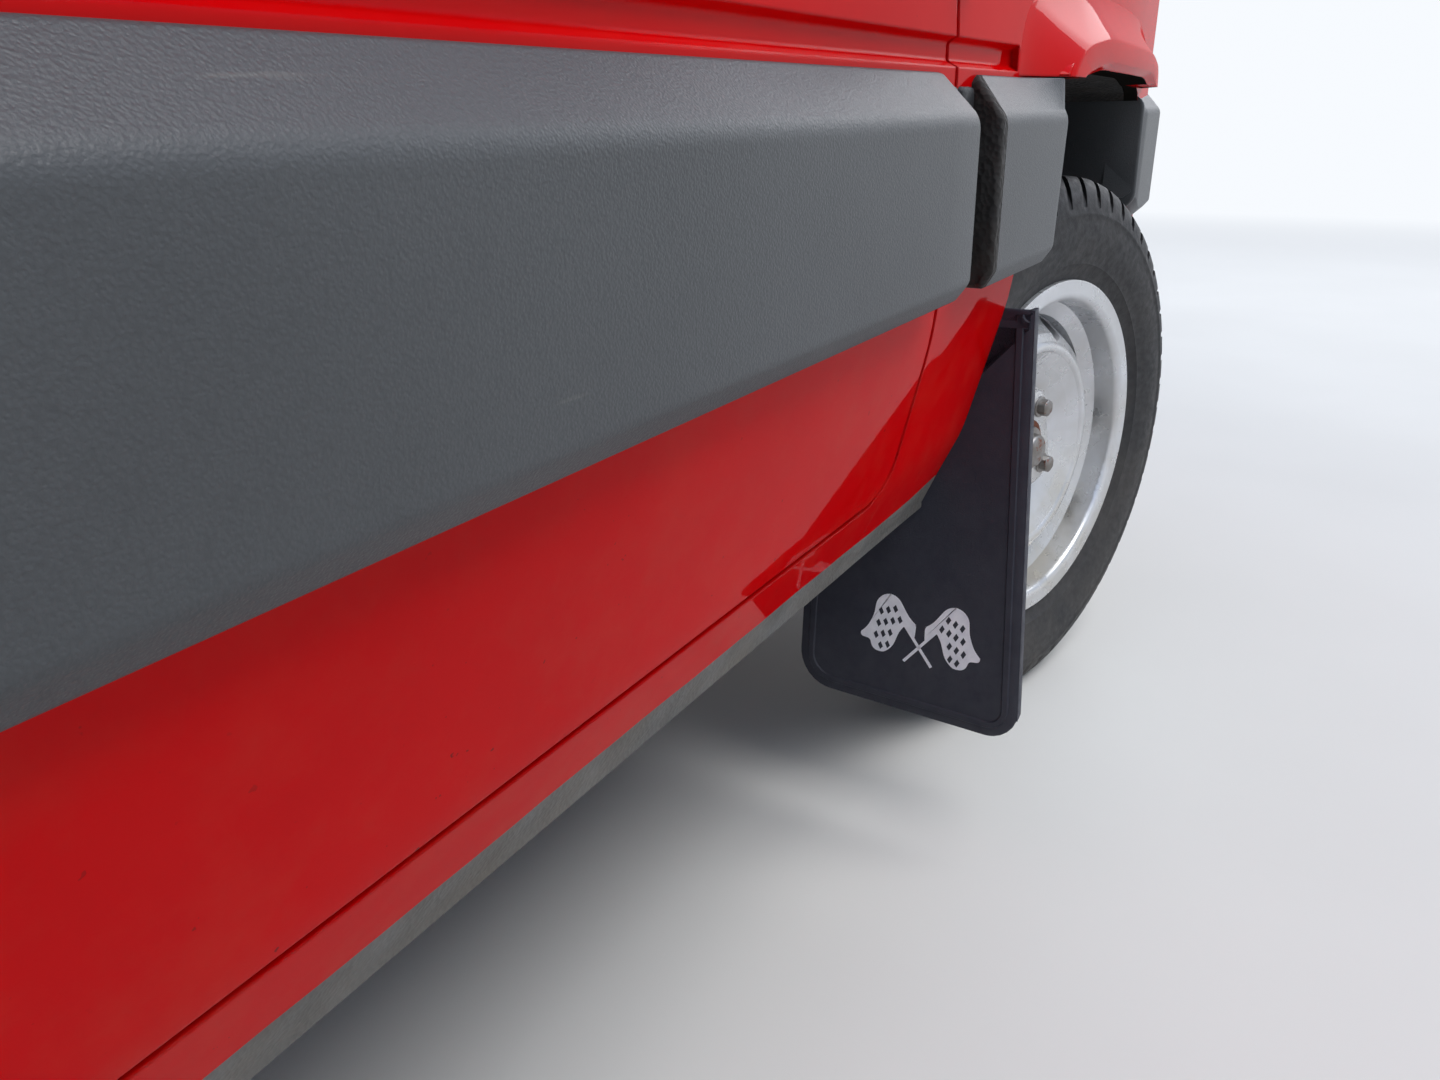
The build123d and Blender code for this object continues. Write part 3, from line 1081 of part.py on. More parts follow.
def build_wheels():
    """Tyre, rim and hub for each corner, and the front knuckles with their struts."""
    # radius, distance outwards from the wheel's middle plane, corner radius
    half = TYRE_HALF_WIDTH
    bead = RIM_HALF_WIDTH - REST_GAP
    outside = [
        (BEAD_R, bead - 8, 0),
        (BEAD_R + 8, bead, 0),
        (RIM_FLANGE_R + 2, bead, 0),
        (TYRE_R - 59, half, 60),
        (TYRE_R - 15, half - 8, 12),
        (TYRE_R - 1, half - 22, 0),
    ]
    inside = [
        (TYRE_R - TREAD_WALL, half - 20, 0),
        (TYRE_R - 59, half - SIDEWALL, 55),
        (RIM_FLANGE_R + 2, bead - SIDEWALL, 0),
        (BEAD_R, bead - 20, 0),
    ]
    flip = lambda rows: [(r, -out, c) for r, out, c in rows[::-1]]
    tyre_rows = outside + [(TYRE_R, 0, 0)] + flip(outside) + flip(inside) + inside
    seat = BEAD_R - REST_GAP
    low = seat - RIM_STEEL
    well = RIM_WELL_R - RIM_STEEL
    edge = RIM_HALF_WIDTH
    lip = edge + RIM_LIP
    barrel_rows = [
        (RIM_FLANGE_R, lip, 0),
        (RIM_FLANGE_R, edge, 0),
        (seat, edge, 4),
        (seat - 3, 34, 0),
        (RIM_WELL_R, 24, 0),
        (RIM_WELL_R, -14, 0),
        (seat - 3, -26, 0),
        (seat, -edge, 4),
        (RIM_FLANGE_R, -edge, 0),
        (RIM_FLANGE_R, -lip, 0),
        (low, -lip, 8),
        (low - 3, -25, 0),
        (well, -13, 0),
        (well, 23, 0),
        (low - 3, 33, 0),
        (low, lip, 8),
    ]
    face = HUB_FACE
    crest, rise = DISC_CREST_R, DISC_CREST
    disc_rows = [
        (HUB_NOSE_R + 1, face, 0),
        (72, face, 0),
        (crest - 16, rise - 10, 0),
        (crest, rise, 8),
        (crest + 11, rise - 7, 0),
        (well - 4, 8, 0),
        (well - 4, -10, 0),
        (well + 0.5, -10, 0),
        (well + 0.5, 10, 0),
        (crest + 15, rise - 3, 0),
        (crest, rise + RIM_STEEL, 10),
        (crest - 18, rise - 6, 0),
        (71, face + RIM_STEEL, 0),
        (HUB_NOSE_R + 1, face + RIM_STEEL, 0),
    ]
    corners = {
        "front_right": (FRONT_AXLE_X, RIGHT),
        "front_left": (FRONT_AXLE_X, LEFT),
        "rear_right": (REAR_AXLE_X, RIGHT),
        "rear_left": (REAR_AXLE_X, LEFT),
    }
    for name, (x, side) in corners.items():
        front = x == FRONT_AXLE_X
        turn = (lambda s: steered(s, side)) if front else (lambda s: s)
        tyre = lathe(tyre_rows, x, AXLE_Z, HALF_TRACK, side)
        rim = lathe(barrel_rows, x, AXLE_Z, HALF_TRACK, side)
        disc = lathe(disc_rows, x, AXLE_Z, HALF_TRACK, side)
        at = lambda r, angle: (x + r * math.cos(angle), AXLE_Z + r * math.sin(angle))
        for i in range(HAND_HOLE_COUNT):
            hx, hz = at(HAND_HOLE_CIRCLE_R, math.tau * i / HAND_HOLE_COUNT)
            disc = disc - rod(
                (hx, side * (HALF_TRACK - 20), hz), (hx, side * (HALF_TRACK + 60), hz), HAND_HOLE_R
            )
        for i in range(BOLT_COUNT):
            bx, bz = at(BOLT_CIRCLE_R, math.tau * (i + 0.5) / BOLT_COUNT)
            disc = disc - rod(
                (bx, side * (HALF_TRACK + face - 5), bz), (bx, side * (HALF_TRACK + face + 10), bz), BOLT_R
            )
        write(f"tyre_{name}", turn(tyre))
        write(f"rim_{name}", turn(rim + disc))

        nose = [
            (0, face - 14, 0),
            (HUB_R, face - 14, 0),
            (HUB_R, face, 0),
            (HUB_NOSE_R, face, 0),
            (HUB_NOSE_R, face + 16, 3),
            (19, face + 24, 0),
            (17, face + 34, 4),
            (0, face + 36, 0),
        ]
        hub = lathe(nose, x, AXLE_Z, HALF_TRACK, side)
        if front:
            brake = [
                (40, -22, 0),
                (BRAKE_DISC_R, -22, 0),
                (BRAKE_DISC_R, -11, 0),
                (64, -11, 0),
                (60, face - 10, 0),
                (40, face - 10, 0),
            ]
            stub = [(0, -68, 0), (STUB_R, -68, 0), (STUB_R, face - 10, 0), (0, face - 10, 0)]
            collar = [(0, -22, 0), (45, -22, 0), (45, face - 10, 0), (0, face - 10, 0)]
            for rows in (brake, collar, stub):
                hub = hub + lathe(rows, x, AXLE_Z, HALF_TRACK, side)
        else:
            drum = [(0, -38, 0), (104, -38, 3), (110, -6, 6), (60, face - 10, 4), (0, face - 10, 0)]
            hub = hub + lathe(drum, x, AXLE_Z, HALF_TRACK, side)
            stub = [(0, -62 + REST_GAP, 0), (STUB_R, -62 + REST_GAP, 0), (STUB_R, -30, 0), (0, -30, 0)]
            hub = hub + lathe(stub, x, AXLE_Z, HALF_TRACK, side)
        write(f"hub_{name}", turn(hub))

    for name, side in SIDES.items():
        write(f"knuckle_{name}", steered(knuckle(side), side))


def knuckle(side):
    """The upright that carries a front hub, with its strut and spring on the steering line."""
    x, y = FRONT_AXLE_X, KINGPIN_Y
    reach = HALF_TRACK - 28.0
    plate = box(x - 30, x + 30, y + 36, y + 52, KNUCKLE_FOOT_Z, AXLE_Z + 105)
    boss = rod((x, y + 36, AXLE_Z), (x, reach, AXLE_Z), 36)
    foot = rod((x, y, KNUCKLE_FOOT_Z), (x, y, KNUCKLE_FOOT_Z + 22), 17)
    foot = foot + box(x - 17, x + 17, y, y + 52, KNUCKLE_FOOT_Z, KNUCKLE_FOOT_Z + 22)
    head = box(x - 20, x + 20, y, y + 52, AXLE_Z + 52, AXLE_Z + 100)
    body = plate + boss + foot + head
    body = body - rod((x, y - 60, AXLE_Z), (x, reach + 20, AXLE_Z), STUB_R + STUB_FIT)
    body = body - Solid.make_sphere(CUP_R + PANEL_GAP).moved(Location((x, y, AXLE_Z)))
    tube = rod((x, y, AXLE_Z + 46), (x, y, ARCH_TOP_Z - 130), STRUT_R)
    rod_top = rod((x, y, ARCH_TOP_Z - 150), (x, y, ARCH_TOP_Z - REST_GAP), 10)
    seat = rod((x, y, SPRING_SEAT_Z), (x, y, SPRING_SEAT_Z + 6), 26)
    caliper = box(x - 128, x - 62, reach - 26, reach + 20, AXLE_Z - 45, AXLE_Z + 45)
    caliper = caliper - rod((x, reach - 8, AXLE_Z), (x, reach + 60, AXLE_Z), BRAKE_DISC_R + 4)
    bracket = box(x - 100, x - 20, y + 38, y + 50, AXLE_Z - 30, AXLE_Z + 30)
    link = box(x - 128, x - 90, y + 38, reach - 20, AXLE_Z - 30, AXLE_Z + 30)
    body = body + tube + rod_top + seat + caliper + bracket + link
    body = body - rod((x, y - 60, AXLE_Z), (x, reach + 20, AXLE_Z), STUB_R + STUB_FIT)
    return on_side(body, side)


def build_cabin():
    """Seats, dashboard and steering wheel."""
    floor_top = FLOOR_Z + FLOOR_WALL
    side_rows = [
        (SEAT_X - 60, SEAT_Z - 150, 30),
        (SEAT_X + 470, SEAT_Z - 120, 40),
        (SEAT_X + 480, SEAT_Z + 20, 50),
        (SEAT_X + 60, SEAT_Z - 20, 60),
        (SEAT_X - 90, SEAT_Z + 520, 45),
        (SEAT_X - 190, SEAT_Z + 500, 35),
    ]
    seats = []
    for sign in (RIGHT, LEFT):
        mid = sign * SEAT_Y
        seat = prism(side_rows, "y", mid - SEAT_HALF, mid + SEAT_HALF)
        for off in (-SEAT_HALF + 40, SEAT_HALF - 60):
            seat = seat + box(SEAT_X, SEAT_X + 420, mid + off, mid + off + 20, floor_top, SEAT_Z - 110)
        seats.append(seat)
    write("front_seats", *seats)
    bench_rows = [
        (BENCH_X - 150, REAR_FLOOR_Z + FLOOR_WALL, 0),
        (HEEL_X - 10, REAR_FLOOR_Z + FLOOR_WALL, 25),
        (HEEL_X - 10, REAR_FLOOR_Z + FLOOR_WALL + 110, 40),
        (BENCH_X + 40, REAR_FLOOR_Z + FLOOR_WALL + 100, 50),
        (BENCH_X - 80, REAR_FLOOR_Z + 500, 40),
        (BENCH_X - 160, REAR_FLOOR_Z + 490, 30),
    ]
    write("rear_bench", prism(bench_rows, "y", -BENCH_HALF, BENCH_HALF))
    dash_rows = [
        (FIREWALL_X, DASH_FOOT_Z, 0),
        (FIREWALL_X, BELT_Z - 30, 0),
        (FIREWALL_X - 130, BELT_Z - 15, 40),
        (FIREWALL_X - 240, BELT_Z - 60, 40),
        (FIREWALL_X - 210, DASH_FOOT_Z + 20, 40),
    ]
    room = body_block(side=SIDE_WALL + PANEL_GAP, screen=SCREEN_WALL, bottom=OPEN_BELOW)
    dash = prism(dash_rows, "y", -FAR, FAR) & room
    write("dashboard", dash)
    lean = math.radians(WHEEL_LEAN)
    centre = Vector(STEER_WHEEL_X, SEAT_Y, STEER_WHEEL_Z)
    along = Vector(math.cos(lean), 0, -math.sin(lean))
    ring_plane = Plane(origin=centre, z_dir=along)
    ring = Solid.make_torus(STEER_WHEEL_R, 13, ring_plane)
    hub = rod(tuple(centre - along * 12), tuple(centre + along * 40), 45)
    across = Vector(0, STEER_WHEEL_R, 0)
    spoke = rod(tuple(centre - across), tuple(centre + across), 9)
    column = rod(tuple(centre), tuple(centre + along * 400), 24) - dash - wall_behind_dash()
    column = max(column.solids(), key=lambda s: s.volume) if len(column.solids()) > 1 else column
    front = box(-FAR, FIREWALL_X, -FAR, FAR, 0, FAR)
    write("steering_wheel", (ring + hub + spoke + (column & front)))


def wall_behind_dash():
    """The space in front of the firewall, which the steering column doesn't enter."""
    return box(FIREWALL_X - 60, FAR, -FAR, FAR, 0, FAR)


def build_mud_flaps():
    """Rubber flaps that hang along the rear edges of the four arches, each with a rolled outer edge."""
    flaps = []
    for axle_x in (FRONT_AXLE_X, REAR_AXLE_X):
        foot, head = FLAP_FOOT_Z - 7, FLAP_EDGE_TOP_Z
        near = lambda z: arch_rear_x(axle_x, z) + REST_GAP
        sheet = [
            (near(foot), foot),
            (near(foot) + FLAP_WALL, foot),
            (near(head) + FLAP_WALL, head),
            (near(head), head),
        ]
        low_edge, top_edge = (FLAP_OUTER + FLAP_SPLAY, foot), (FLAP_OUTER - FLAP_SPLAY, head)
        rows = [
            (FLAP_INNER, FLAP_FOOT_Z, 35),
            (*low_edge, 25),
            (*top_edge, 0),
            (top_edge[0] - 36, head, 0),
            (top_edge[0] - 42, FLAP_TOP_Z + 20, 30),
            (FLAP_OUTER - 110, FLAP_TOP_Z, 0),
            (FLAP_INNER, FLAP_TOP_Z, 0),
        ]
        flap = prism(sheet, "y", 0, 900) & prism(rows, "x", -FAR, FAR)
        lip = [
            (near(foot + 25), foot + 25),
            (near(foot + 25) + FLAP_LIP, foot + 25),
            (near(head) + FLAP_LIP, head),
            (near(head), head),
        ]
        start = (low_edge[0] + (top_edge[0] - low_edge[0]) * 25 / (head - foot), foot + 25)
        strip = [(start[0] - 4, start[1]), start, top_edge, (top_edge[0] - 4, head)]
        flaps.append(flap + (prism(lip, "y", 0, FAR) & prism(strip, "x", -FAR, FAR)))
    write("mud_flaps", *flaps, *[mirrored(f) for f in flaps])


def main():
    """Builds every node of the car."""
    os.makedirs("parts", exist_ok=True)
    build_body()
    build_floor()
    build_running_gear()
    build_wheels()
    build_cabin()
    build_mud_flaps()


main()
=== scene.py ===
import math

import bmesh
import bpy
import numpy as np
from mathutils import Matrix, Vector
from mathutils.bvhtree import BVHTree


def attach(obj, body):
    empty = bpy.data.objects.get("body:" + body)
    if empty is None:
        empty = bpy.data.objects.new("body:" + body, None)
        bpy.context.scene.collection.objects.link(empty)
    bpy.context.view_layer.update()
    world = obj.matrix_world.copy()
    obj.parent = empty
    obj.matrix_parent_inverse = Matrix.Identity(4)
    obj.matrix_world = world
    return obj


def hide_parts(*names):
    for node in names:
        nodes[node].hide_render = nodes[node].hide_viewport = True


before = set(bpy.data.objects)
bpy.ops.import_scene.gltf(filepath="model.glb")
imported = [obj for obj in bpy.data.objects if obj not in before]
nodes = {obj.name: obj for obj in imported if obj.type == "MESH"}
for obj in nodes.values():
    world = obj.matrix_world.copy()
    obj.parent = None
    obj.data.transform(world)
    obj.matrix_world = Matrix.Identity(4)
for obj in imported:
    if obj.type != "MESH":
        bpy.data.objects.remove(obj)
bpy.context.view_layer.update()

# A small boxy hatchback on raised suspension. X is forward, Y to the left, Z up.
# Sizes in the dictionaries are in millimetres; makePiece turns them into metres.

sides = {"right": -1, "left": 1}
frontAxleX, rearAxleX, axleZ, halfTrack, kingpinY, steerAngle = 1090, -1080, 283, 642, 530, -14
print("frame loaded:", len(nodes), "nodes")


# Meshes from grids and profiles

def roundedOutline(rows, steps=6):
    # Each corner (a, b, r) becomes an arc of radius r that touches both of its sides; r 0 keeps the corner.
    rows = [(*row, 0)[:3] for row in rows]
    points = []
    for i, (a, b, r) in enumerate(rows):
        here = np.array([a, b], float)
        back = np.array(rows[i - 1][:2]) - here
        ahead = np.array(rows[(i + 1) % len(rows)][:2]) - here
        back, ahead = back / np.linalg.norm(back), ahead / np.linalg.norm(ahead)
        angle = math.acos(max(-1, min(1, float(back @ ahead))))
        if r <= 0 or angle > math.pi - 1e-3:
            points.append(here[None])
            continue
        middle = (back + ahead) / np.linalg.norm(back + ahead)
        centre = here + middle * r / math.sin(angle / 2)
        start = here + back * r / math.tan(angle / 2) - centre
        end = here + ahead * r / math.tan(angle / 2) - centre
        t = np.linspace(0, 1, steps + 1)[:, None]
        arc = start * (1 - t) + end * t
        points.append(centre + arc / np.linalg.norm(arc, axis=1, keepdims=True) * r)
    return np.concatenate(points)


def pointsOf(x, y, z):
    # Points from their three places, spread over one grid.
    return np.stack(np.broadcast_arrays(x, y, z), -1)


def gridFaces(count, width, closeRows=False, closeCols=False):
    # Quads between neighbours in a grid of points numbered row by row.
    i, j = np.meshgrid(
        np.arange(count if closeRows else count - 1), np.arange(width if closeCols else width - 1),
        indexing="ij",
    )
    nextI, nextJ = (i + 1) % count, (j + 1) % width
    return np.stack(
        [i * width + j, i * width + nextJ, nextI * width + nextJ, nextI * width + j], -1,
    ).reshape(-1, 4)


def surface(points, closeRows=False, closeCols=False, caps=False, finish=0):
    # A shell from a grid of points; caps closes the first and last row with one face each.
    count, width = points.shape[:2]
    faces = [gridFaces(count, width, closeRows, closeCols)]
    if caps:
        ends = np.stack([np.arange(width)[::-1], (count - 1) * width + np.arange(width)])
        faces.append(ends)
    return points.reshape(-1, 3).astype(float), faces, finish


def closedSkin(grid, finish=0):
    # Rows closed into rings, with a face over the first and the last.
    return surface(grid, closeCols=True, caps=True, finish=finish)


def extruded(outline, axis, low, high, finish=0, tip=0.0):
    # A flat outline carried from low to high along an axis; tip shrinks both ends by that much.
    outline = np.asarray(outline, float)
    levels = [(low, 0.0), (high, 0.0)]
    if tip:
        levels = [
            (low, tip), (low + tip * 0.3, tip * 0.3), (low + tip, 0), (high - tip, 0),
            (high - tip * 0.3, tip * 0.3), (high, tip),
        ]
    centre = (outline.min(0) + outline.max(0)) / 2
    half = (outline.max(0) - outline.min(0)) / 2
    layers = []
    for at, shrink in levels:
        flat = centre + (outline - centre) * (1 - shrink / np.maximum(half, 1e-6))
        column = np.full(len(flat), at)
        order = {
            "x": (column, flat[:, 0], flat[:, 1]), "y": (flat[:, 0], column, flat[:, 1]),
            "z": (flat[:, 0], flat[:, 1], column),
        }
        layers.append(np.stack(order[axis], -1))
    return closedSkin(np.stack(layers), finish)


def rectangle(a, b, halfA, halfB, radii):
    # Outline rows of a rectangle about (a, b), with one corner radius or four.
    radii = radii if isinstance(radii, tuple) else (radii,) * 4
    return [
        (a + s * halfA, b + t * halfB, r) for (s, t), r in zip(((-1, -1), (1, -1), (1, 1), (-1, 1)), radii)
    ]


def roundedBox(low, high, radius=3, axis="x", finish=0):
    # A box with rounded edges: a rounded rectangle carried along the axis.
    k = "xyz".index(axis)
    a, b = [i for i in range(3) if i != k]
    r = min(radius, (high[a] - low[a]) / 2 - 1e-3, (high[b] - low[b]) / 2 - 1e-3)
    rows = [(low[a], low[b], r), (high[a], low[b], r), (high[a], high[b], r), (low[a], high[b], r)]
    return extruded(
        roundedOutline(rows, 4), axis, low[k], high[k], finish, min(radius, (high[k] - low[k]) / 3),
    )


def lathed(profile, centre, side, steps=96, finish=0, closed=True):
    # A profile of (radius, distance outwards) turned about the line along Y through centre.
    profile = np.asarray(profile, float)
    t = np.linspace(0, math.tau, steps, endpoint=False)[:, None]
    x = centre[0] + profile[:, 0] * np.cos(t)
    z = centre[2] + profile[:, 0] * np.sin(t)
    y = np.broadcast_to(centre[1] + side * profile[:, 1], x.shape)
    return surface(pointsOf(x, y, z), closeRows=True, closeCols=closed, finish=finish)


def turned(profile, steps, finish=0, place=(0, 0, 0), side=1):
    # A solid whose profile runs from the axis outwards and back to it.
    return lathed(profile, place, side, steps, finish, closed=False)


def tube(path, radius, around=12, finish=0, closed=False):
    # A circle carried along a path: each ring lies across the path's own direction.
    path = np.asarray(path, float)
    along = np.roll(path, -1, 0) - np.roll(path, 1, 0) if closed else np.gradient(path, axis=0)
    along /= np.linalg.norm(along, axis=1, keepdims=True)
    guide = np.array([0.0, 0, 1]) if np.abs(along[:, 2]).max() < 0.95 else np.array([0.31, 0.9, 0.3])
    across = np.cross(along, guide)
    across /= np.linalg.norm(across, axis=1, keepdims=True)
    up = np.cross(across, along)
    t = np.linspace(0, math.tau, around, endpoint=False)
    radius = np.broadcast_to(radius, len(path))[:, None, None]
    ring = np.cos(t)[None, :, None] * across[:, None] + np.sin(t)[None, :, None] * up[:, None]
    return surface(
        path[:, None] + radius * ring, closeRows=closed, closeCols=True, caps=not closed, finish=finish,
    )


def squeezed(shell, path, shares):
    # A tube of radius 1 mm scaled about its path by a share for each axis.
    centre = np.repeat(path, len(shell[0]) // len(path), 0)
    return centre + (shell[0] - centre) * shares, shell[1], 0


def smoothPath(points, count=40):
    # A curve through the points: piecewise cubic by their neighbours' slopes, at count even steps.
    points = np.asarray(points, float)
    s = np.concatenate([[0], np.cumsum(np.linalg.norm(np.diff(points, axis=0), axis=1))])
    slope = np.gradient(points, s, axis=0)
    at = np.linspace(0, s[-1], count)
    i = np.clip(np.searchsorted(s, at) - 1, 0, len(s) - 2)
    h = (s[i + 1] - s[i])[:, None]
    u = (at - s[i])[:, None] / h
    a, b, c, d = 2 * u**3 - 3 * u**2 + 1, u**3 - 2 * u**2 + u, -2 * u**3 + 3 * u**2, u**3 - u**2
    return a * points[i] + b * h * slope[i] + c * points[i + 1] + d * h * slope[i + 1]


def moved(shell, matrix):
    # The same shell under a 4 x 4 matrix in millimetres.
    m = np.array(matrix)
    return shell[0] @ m[:3, :3].T + m[:3, 3], shell[1], shell[2]


def placed(shell, place, angle, axis):
    # The same shell turned about an axis through the origin, then moved to its place.
    return moved(shell, Matrix.Translation(place) @ Matrix.Rotation(angle, 4, axis))


def flipped(shell):
    # The same shell on the other side of the car.
    return shell[0] * [1, -1, 1], shell[1], shell[2]


def onSide(shells, side):
    return [flipped(s) if side < 0 else s for s in shells]


def steered(shells, side):
    # Front wheel pieces stand turned about the kingpin.
    pivot = Vector((frontAxleX, side * kingpinY, 0))
    turn = Matrix.Rotation(math.radians(steerAngle), 4, "Z")
    turn = Matrix.Translation(pivot) @ turn @ Matrix.Translation(-pivot)
    return [moved(s, turn) for s in shells]


def newObject(name, data):
    made = bpy.data.objects.new(name, data)
    bpy.context.scene.collection.objects.link(made)
    return made


def makePiece(name, shells, finishes, body="shell", slot="grey_plastic", replaces=(), sharp=35):
    # One object from shells (points, faces, finish number); sharp is the edge angle that stays a crease.
    mesh = bpy.data.meshes.new(name)
    points = np.concatenate([s[0] for s in shells]) * 0.001
    starts = np.cumsum([0] + [len(s[0]) for s in shells])
    loops, sizes, picks = [], [], []
    for shell, start in zip(shells, starts):
        for block in shell[1]:
            loops.append((np.asarray(block) + start).ravel())
            sizes.append(np.full(len(block), block.shape[1]))
            picks.append(np.full(len(block), shell[2]))
    loops, sizes, picks = (np.concatenate(x) for x in (loops, sizes, picks))
    mesh.vertices.add(len(points))
    mesh.vertices.foreach_set("co", points.ravel())
    mesh.loops.add(len(loops))
    mesh.loops.foreach_set("vertex_index", loops)
    mesh.polygons.add(len(sizes))
    mesh.polygons.foreach_set("loop_start", np.concatenate([[0], np.cumsum(sizes)[:-1]]))
    mesh.polygons.foreach_set("material_index", picks)
    mesh.update(calc_edges=True)
    mesh.validate()
    work = bmesh.new()
    work.from_mesh(mesh)
    bmesh.ops.remove_doubles(work, verts=work.verts, dist=1e-6)
    bmesh.ops.dissolve_degenerate(work, dist=1e-7, edges=work.edges)
    bmesh.ops.recalc_face_normals(work, faces=work.faces)
    work.to_mesh(mesh)
    work.free()
    for finish in finishes if isinstance(finishes, (list, tuple)) else [finishes]:
        mesh.materials.append(finish)
    mesh.shade_smooth()
    mesh.set_sharp_from_angle(angle=math.radians(sharp))
    piece = newObject(name, mesh)
    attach(piece, body)
    if replaces:
        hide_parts(*replaces)
    return piece


def makePair(label, shells, finishes, body="shell", slot="grey_plastic", replaces=(), **more):
    # The same piece on the right and the left; SIDE in a body's or a node's name stands for the side.
    for name, side in sides.items():
        taken = [node.replace("SIDE", name) for node in replaces]
        makePiece(
            f"{label}_{name}", onSide(shells, side), finishes, body.replace("SIDE", name), slot, taken, **more
        )


# The body's skin, from the same section and plan as the CAD

halfSection = [
    (0, 312, 0), (662, 312, 8), (694, 383, 120), (722, 498, 250), (726, 647, 500), (713, 905, 60),
    (600, 1398, 70), (372, 1444, 400), (0, 1462, 0),
]
planSide = [
    (-1632, 0, 0), (-1632, 690, 60), (-1230, 728, 2500), (1010, 728, 6000), (1653, 650, 75), (1653, 0, 0),
]
sectionLine = roundedOutline(halfSection, 12)
sectionLine = sectionLine[(sectionLine[:, 0] > 600 - 1) & (sectionLine[:, 1] < 1400)]
planLine = roundedOutline(planSide, 16)
planLine = planLine[planLine[:, 1] > 1]


def skinY(x, z):
    # Half width of the skin at station x and height z: the smaller of the section's and the plan's.
    return np.minimum(
        np.interp(z, sectionLine[:, 1], sectionLine[:, 0]), np.interp(x, planLine[:, 0], planLine[:, 1]),
    )


arch = {
    "footHalf": 352, "footZ": 180, "shoulderHalf": 305, "shoulderZ": 640, "crownHalf": 190, "topZ": 661,
    "crownR": 700,
}


def archEdgeX(axleX, z, way=-1):
    # The slanted edge of a wheel arch, straight from foot to shoulder; way is 1 in front and -1 behind.
    rise = (np.asarray(z, float) - arch["footZ"]) / (arch["shoulderZ"] - arch["footZ"])
    return axleX + way * (arch["footHalf"] - (arch["footHalf"] - arch["shoulderHalf"]) * rise)


# Finishes

def linear(r, g, b):
    # An 8-bit screen colour as linear values.
    c = np.array([r, g, b]) / 255
    return (*np.where(c < 0.04045, c / 12.92, ((c + 0.055) / 1.055) ** 2.4).tolist(), 1)


def addNode(tree, kind, inputs=None, **settings):
    made = tree.nodes.new("ShaderNode" + kind)
    for key, value in settings.items():
        setattr(made, key, value)
    for key, value in (inputs or {}).items():
        if isinstance(value, bpy.types.NodeSocket):
            tree.links.new(value, made.inputs[key])
        else:
            made.inputs[key].default_value = value
    return made


def newFinish(name, colour, roughness=0.5, metallic=0.0, **more):
    # A Principled material with its constants set on the sockets.
    made = bpy.data.materials.new(name)
    made.use_nodes = True
    tree = made.node_tree
    shader = tree.nodes["Principled BSDF"]
    shader.inputs["Base Color"].default_value = colour
    shader.inputs["Roughness"].default_value = roughness
    shader.inputs["Metallic"].default_value = metallic
    for key, value in more.items():
        shader.inputs[key.replace("_", " ")].default_value = value
    coords = addNode(tree, "TexCoord").outputs["Object"]
    return made, tree, shader, coords


def noise(tree, coords, scale, detail=3, roughness=0.55, stretch=None):
    if stretch:
        coords = addNode(tree, "Mapping", {"Vector": coords, "Scale": stretch}).outputs[0]
    return addNode(
        tree, "TexNoise", {"Vector": coords, "Scale": scale, "Detail": detail, "Roughness": roughness},
    ).outputs[0]


def cells(tree, coords, scale, feature="F1"):
    made = addNode(tree, "TexVoronoi", {"Vector": coords, "Scale": scale}, feature=feature)
    return made.outputs["Distance"]


def spread(tree, value, low, high, a=0.0, b=1.0):
    # Value from low..high stretched to a..b, and held there beyond.
    return addNode(
        tree, "MapRange", {"Value": value, "From Min": low, "From Max": high, "To Min": a, "To Max": b},
    ).outputs[0]


def maths(tree, operation, a, b=0.0):
    return addNode(tree, "Math", {0: a, 1: b}, operation=operation).outputs[0]


def times(tree, a, b):
    return maths(tree, "MULTIPLY", a, b)


def plus(tree, a, b):
    return maths(tree, "ADD", a, b)


def mixed(tree, share, a, b):
    made = addNode(tree, "Mix", data_type="RGBA")
    for socket, value in ((made.inputs[0], share), (made.inputs[6], a), (made.inputs[7], b)):
        if isinstance(value, bpy.types.NodeSocket):
            tree.links.new(value, socket)
        else:
            socket.default_value = value
    return made.outputs[2]


def bump(tree, shader, height, depth, strength=1.0, normal=None):
    # Depth in metres of the height's full swing.
    inputs = {"Height": height, "Distance": depth, "Strength": strength}
    if normal is not None:
        inputs["Normal"] = normal
    out = addNode(tree, "Bump", inputs).outputs[0]
    tree.links.new(out, shader.inputs["Normal"])
    return out


def heightOf(tree, coords):
    return addNode(tree, "SeparateXYZ", {"Vector": coords}).outputs["Z"]


def speckled(
    name, colour, second, roughness, scale=30, grain=0, grainDepth=0.0, dust=None, dustTop=0.0, metallic=0.0,
    spots=None, spotScale=40, spotEdge=0.68, roughSwing=0.12, **more
):
    # The general finish: two shades by noise, a grain, dust that thickens downwards, and spots.
    made, tree, shader, coords = newFinish(name, colour, roughness, metallic, **more)
    shade = noise(tree, coords, scale, 4)
    base = mixed(tree, spread(tree, shade, 0.35, 0.65), colour, second)
    rough = spread(
        tree, noise(tree, coords, scale * 2.3, 3), 0.3, 0.7, roughness - roughSwing,
        min(1, roughness + roughSwing),
    )
    if spots:
        share = spread(tree, noise(tree, coords, spotScale, 5, 0.65), spotEdge, spotEdge + 0.06)
        base = mixed(tree, share, base, spots)
    if dust:
        low = spread(tree, heightOf(tree, coords), 0.0, dustTop, 0.75, 0.08)
        share = times(tree, low, spread(tree, noise(tree, coords, 14, 5, 0.6), 0.3, 0.75))
        base = mixed(tree, share, base, dust)
    tree.links.new(base, shader.inputs["Base Color"])
    tree.links.new(rough, shader.inputs["Roughness"])
    if grain:
        bump(tree, shader, cells(tree, coords, grain), grainDepth)
    return made


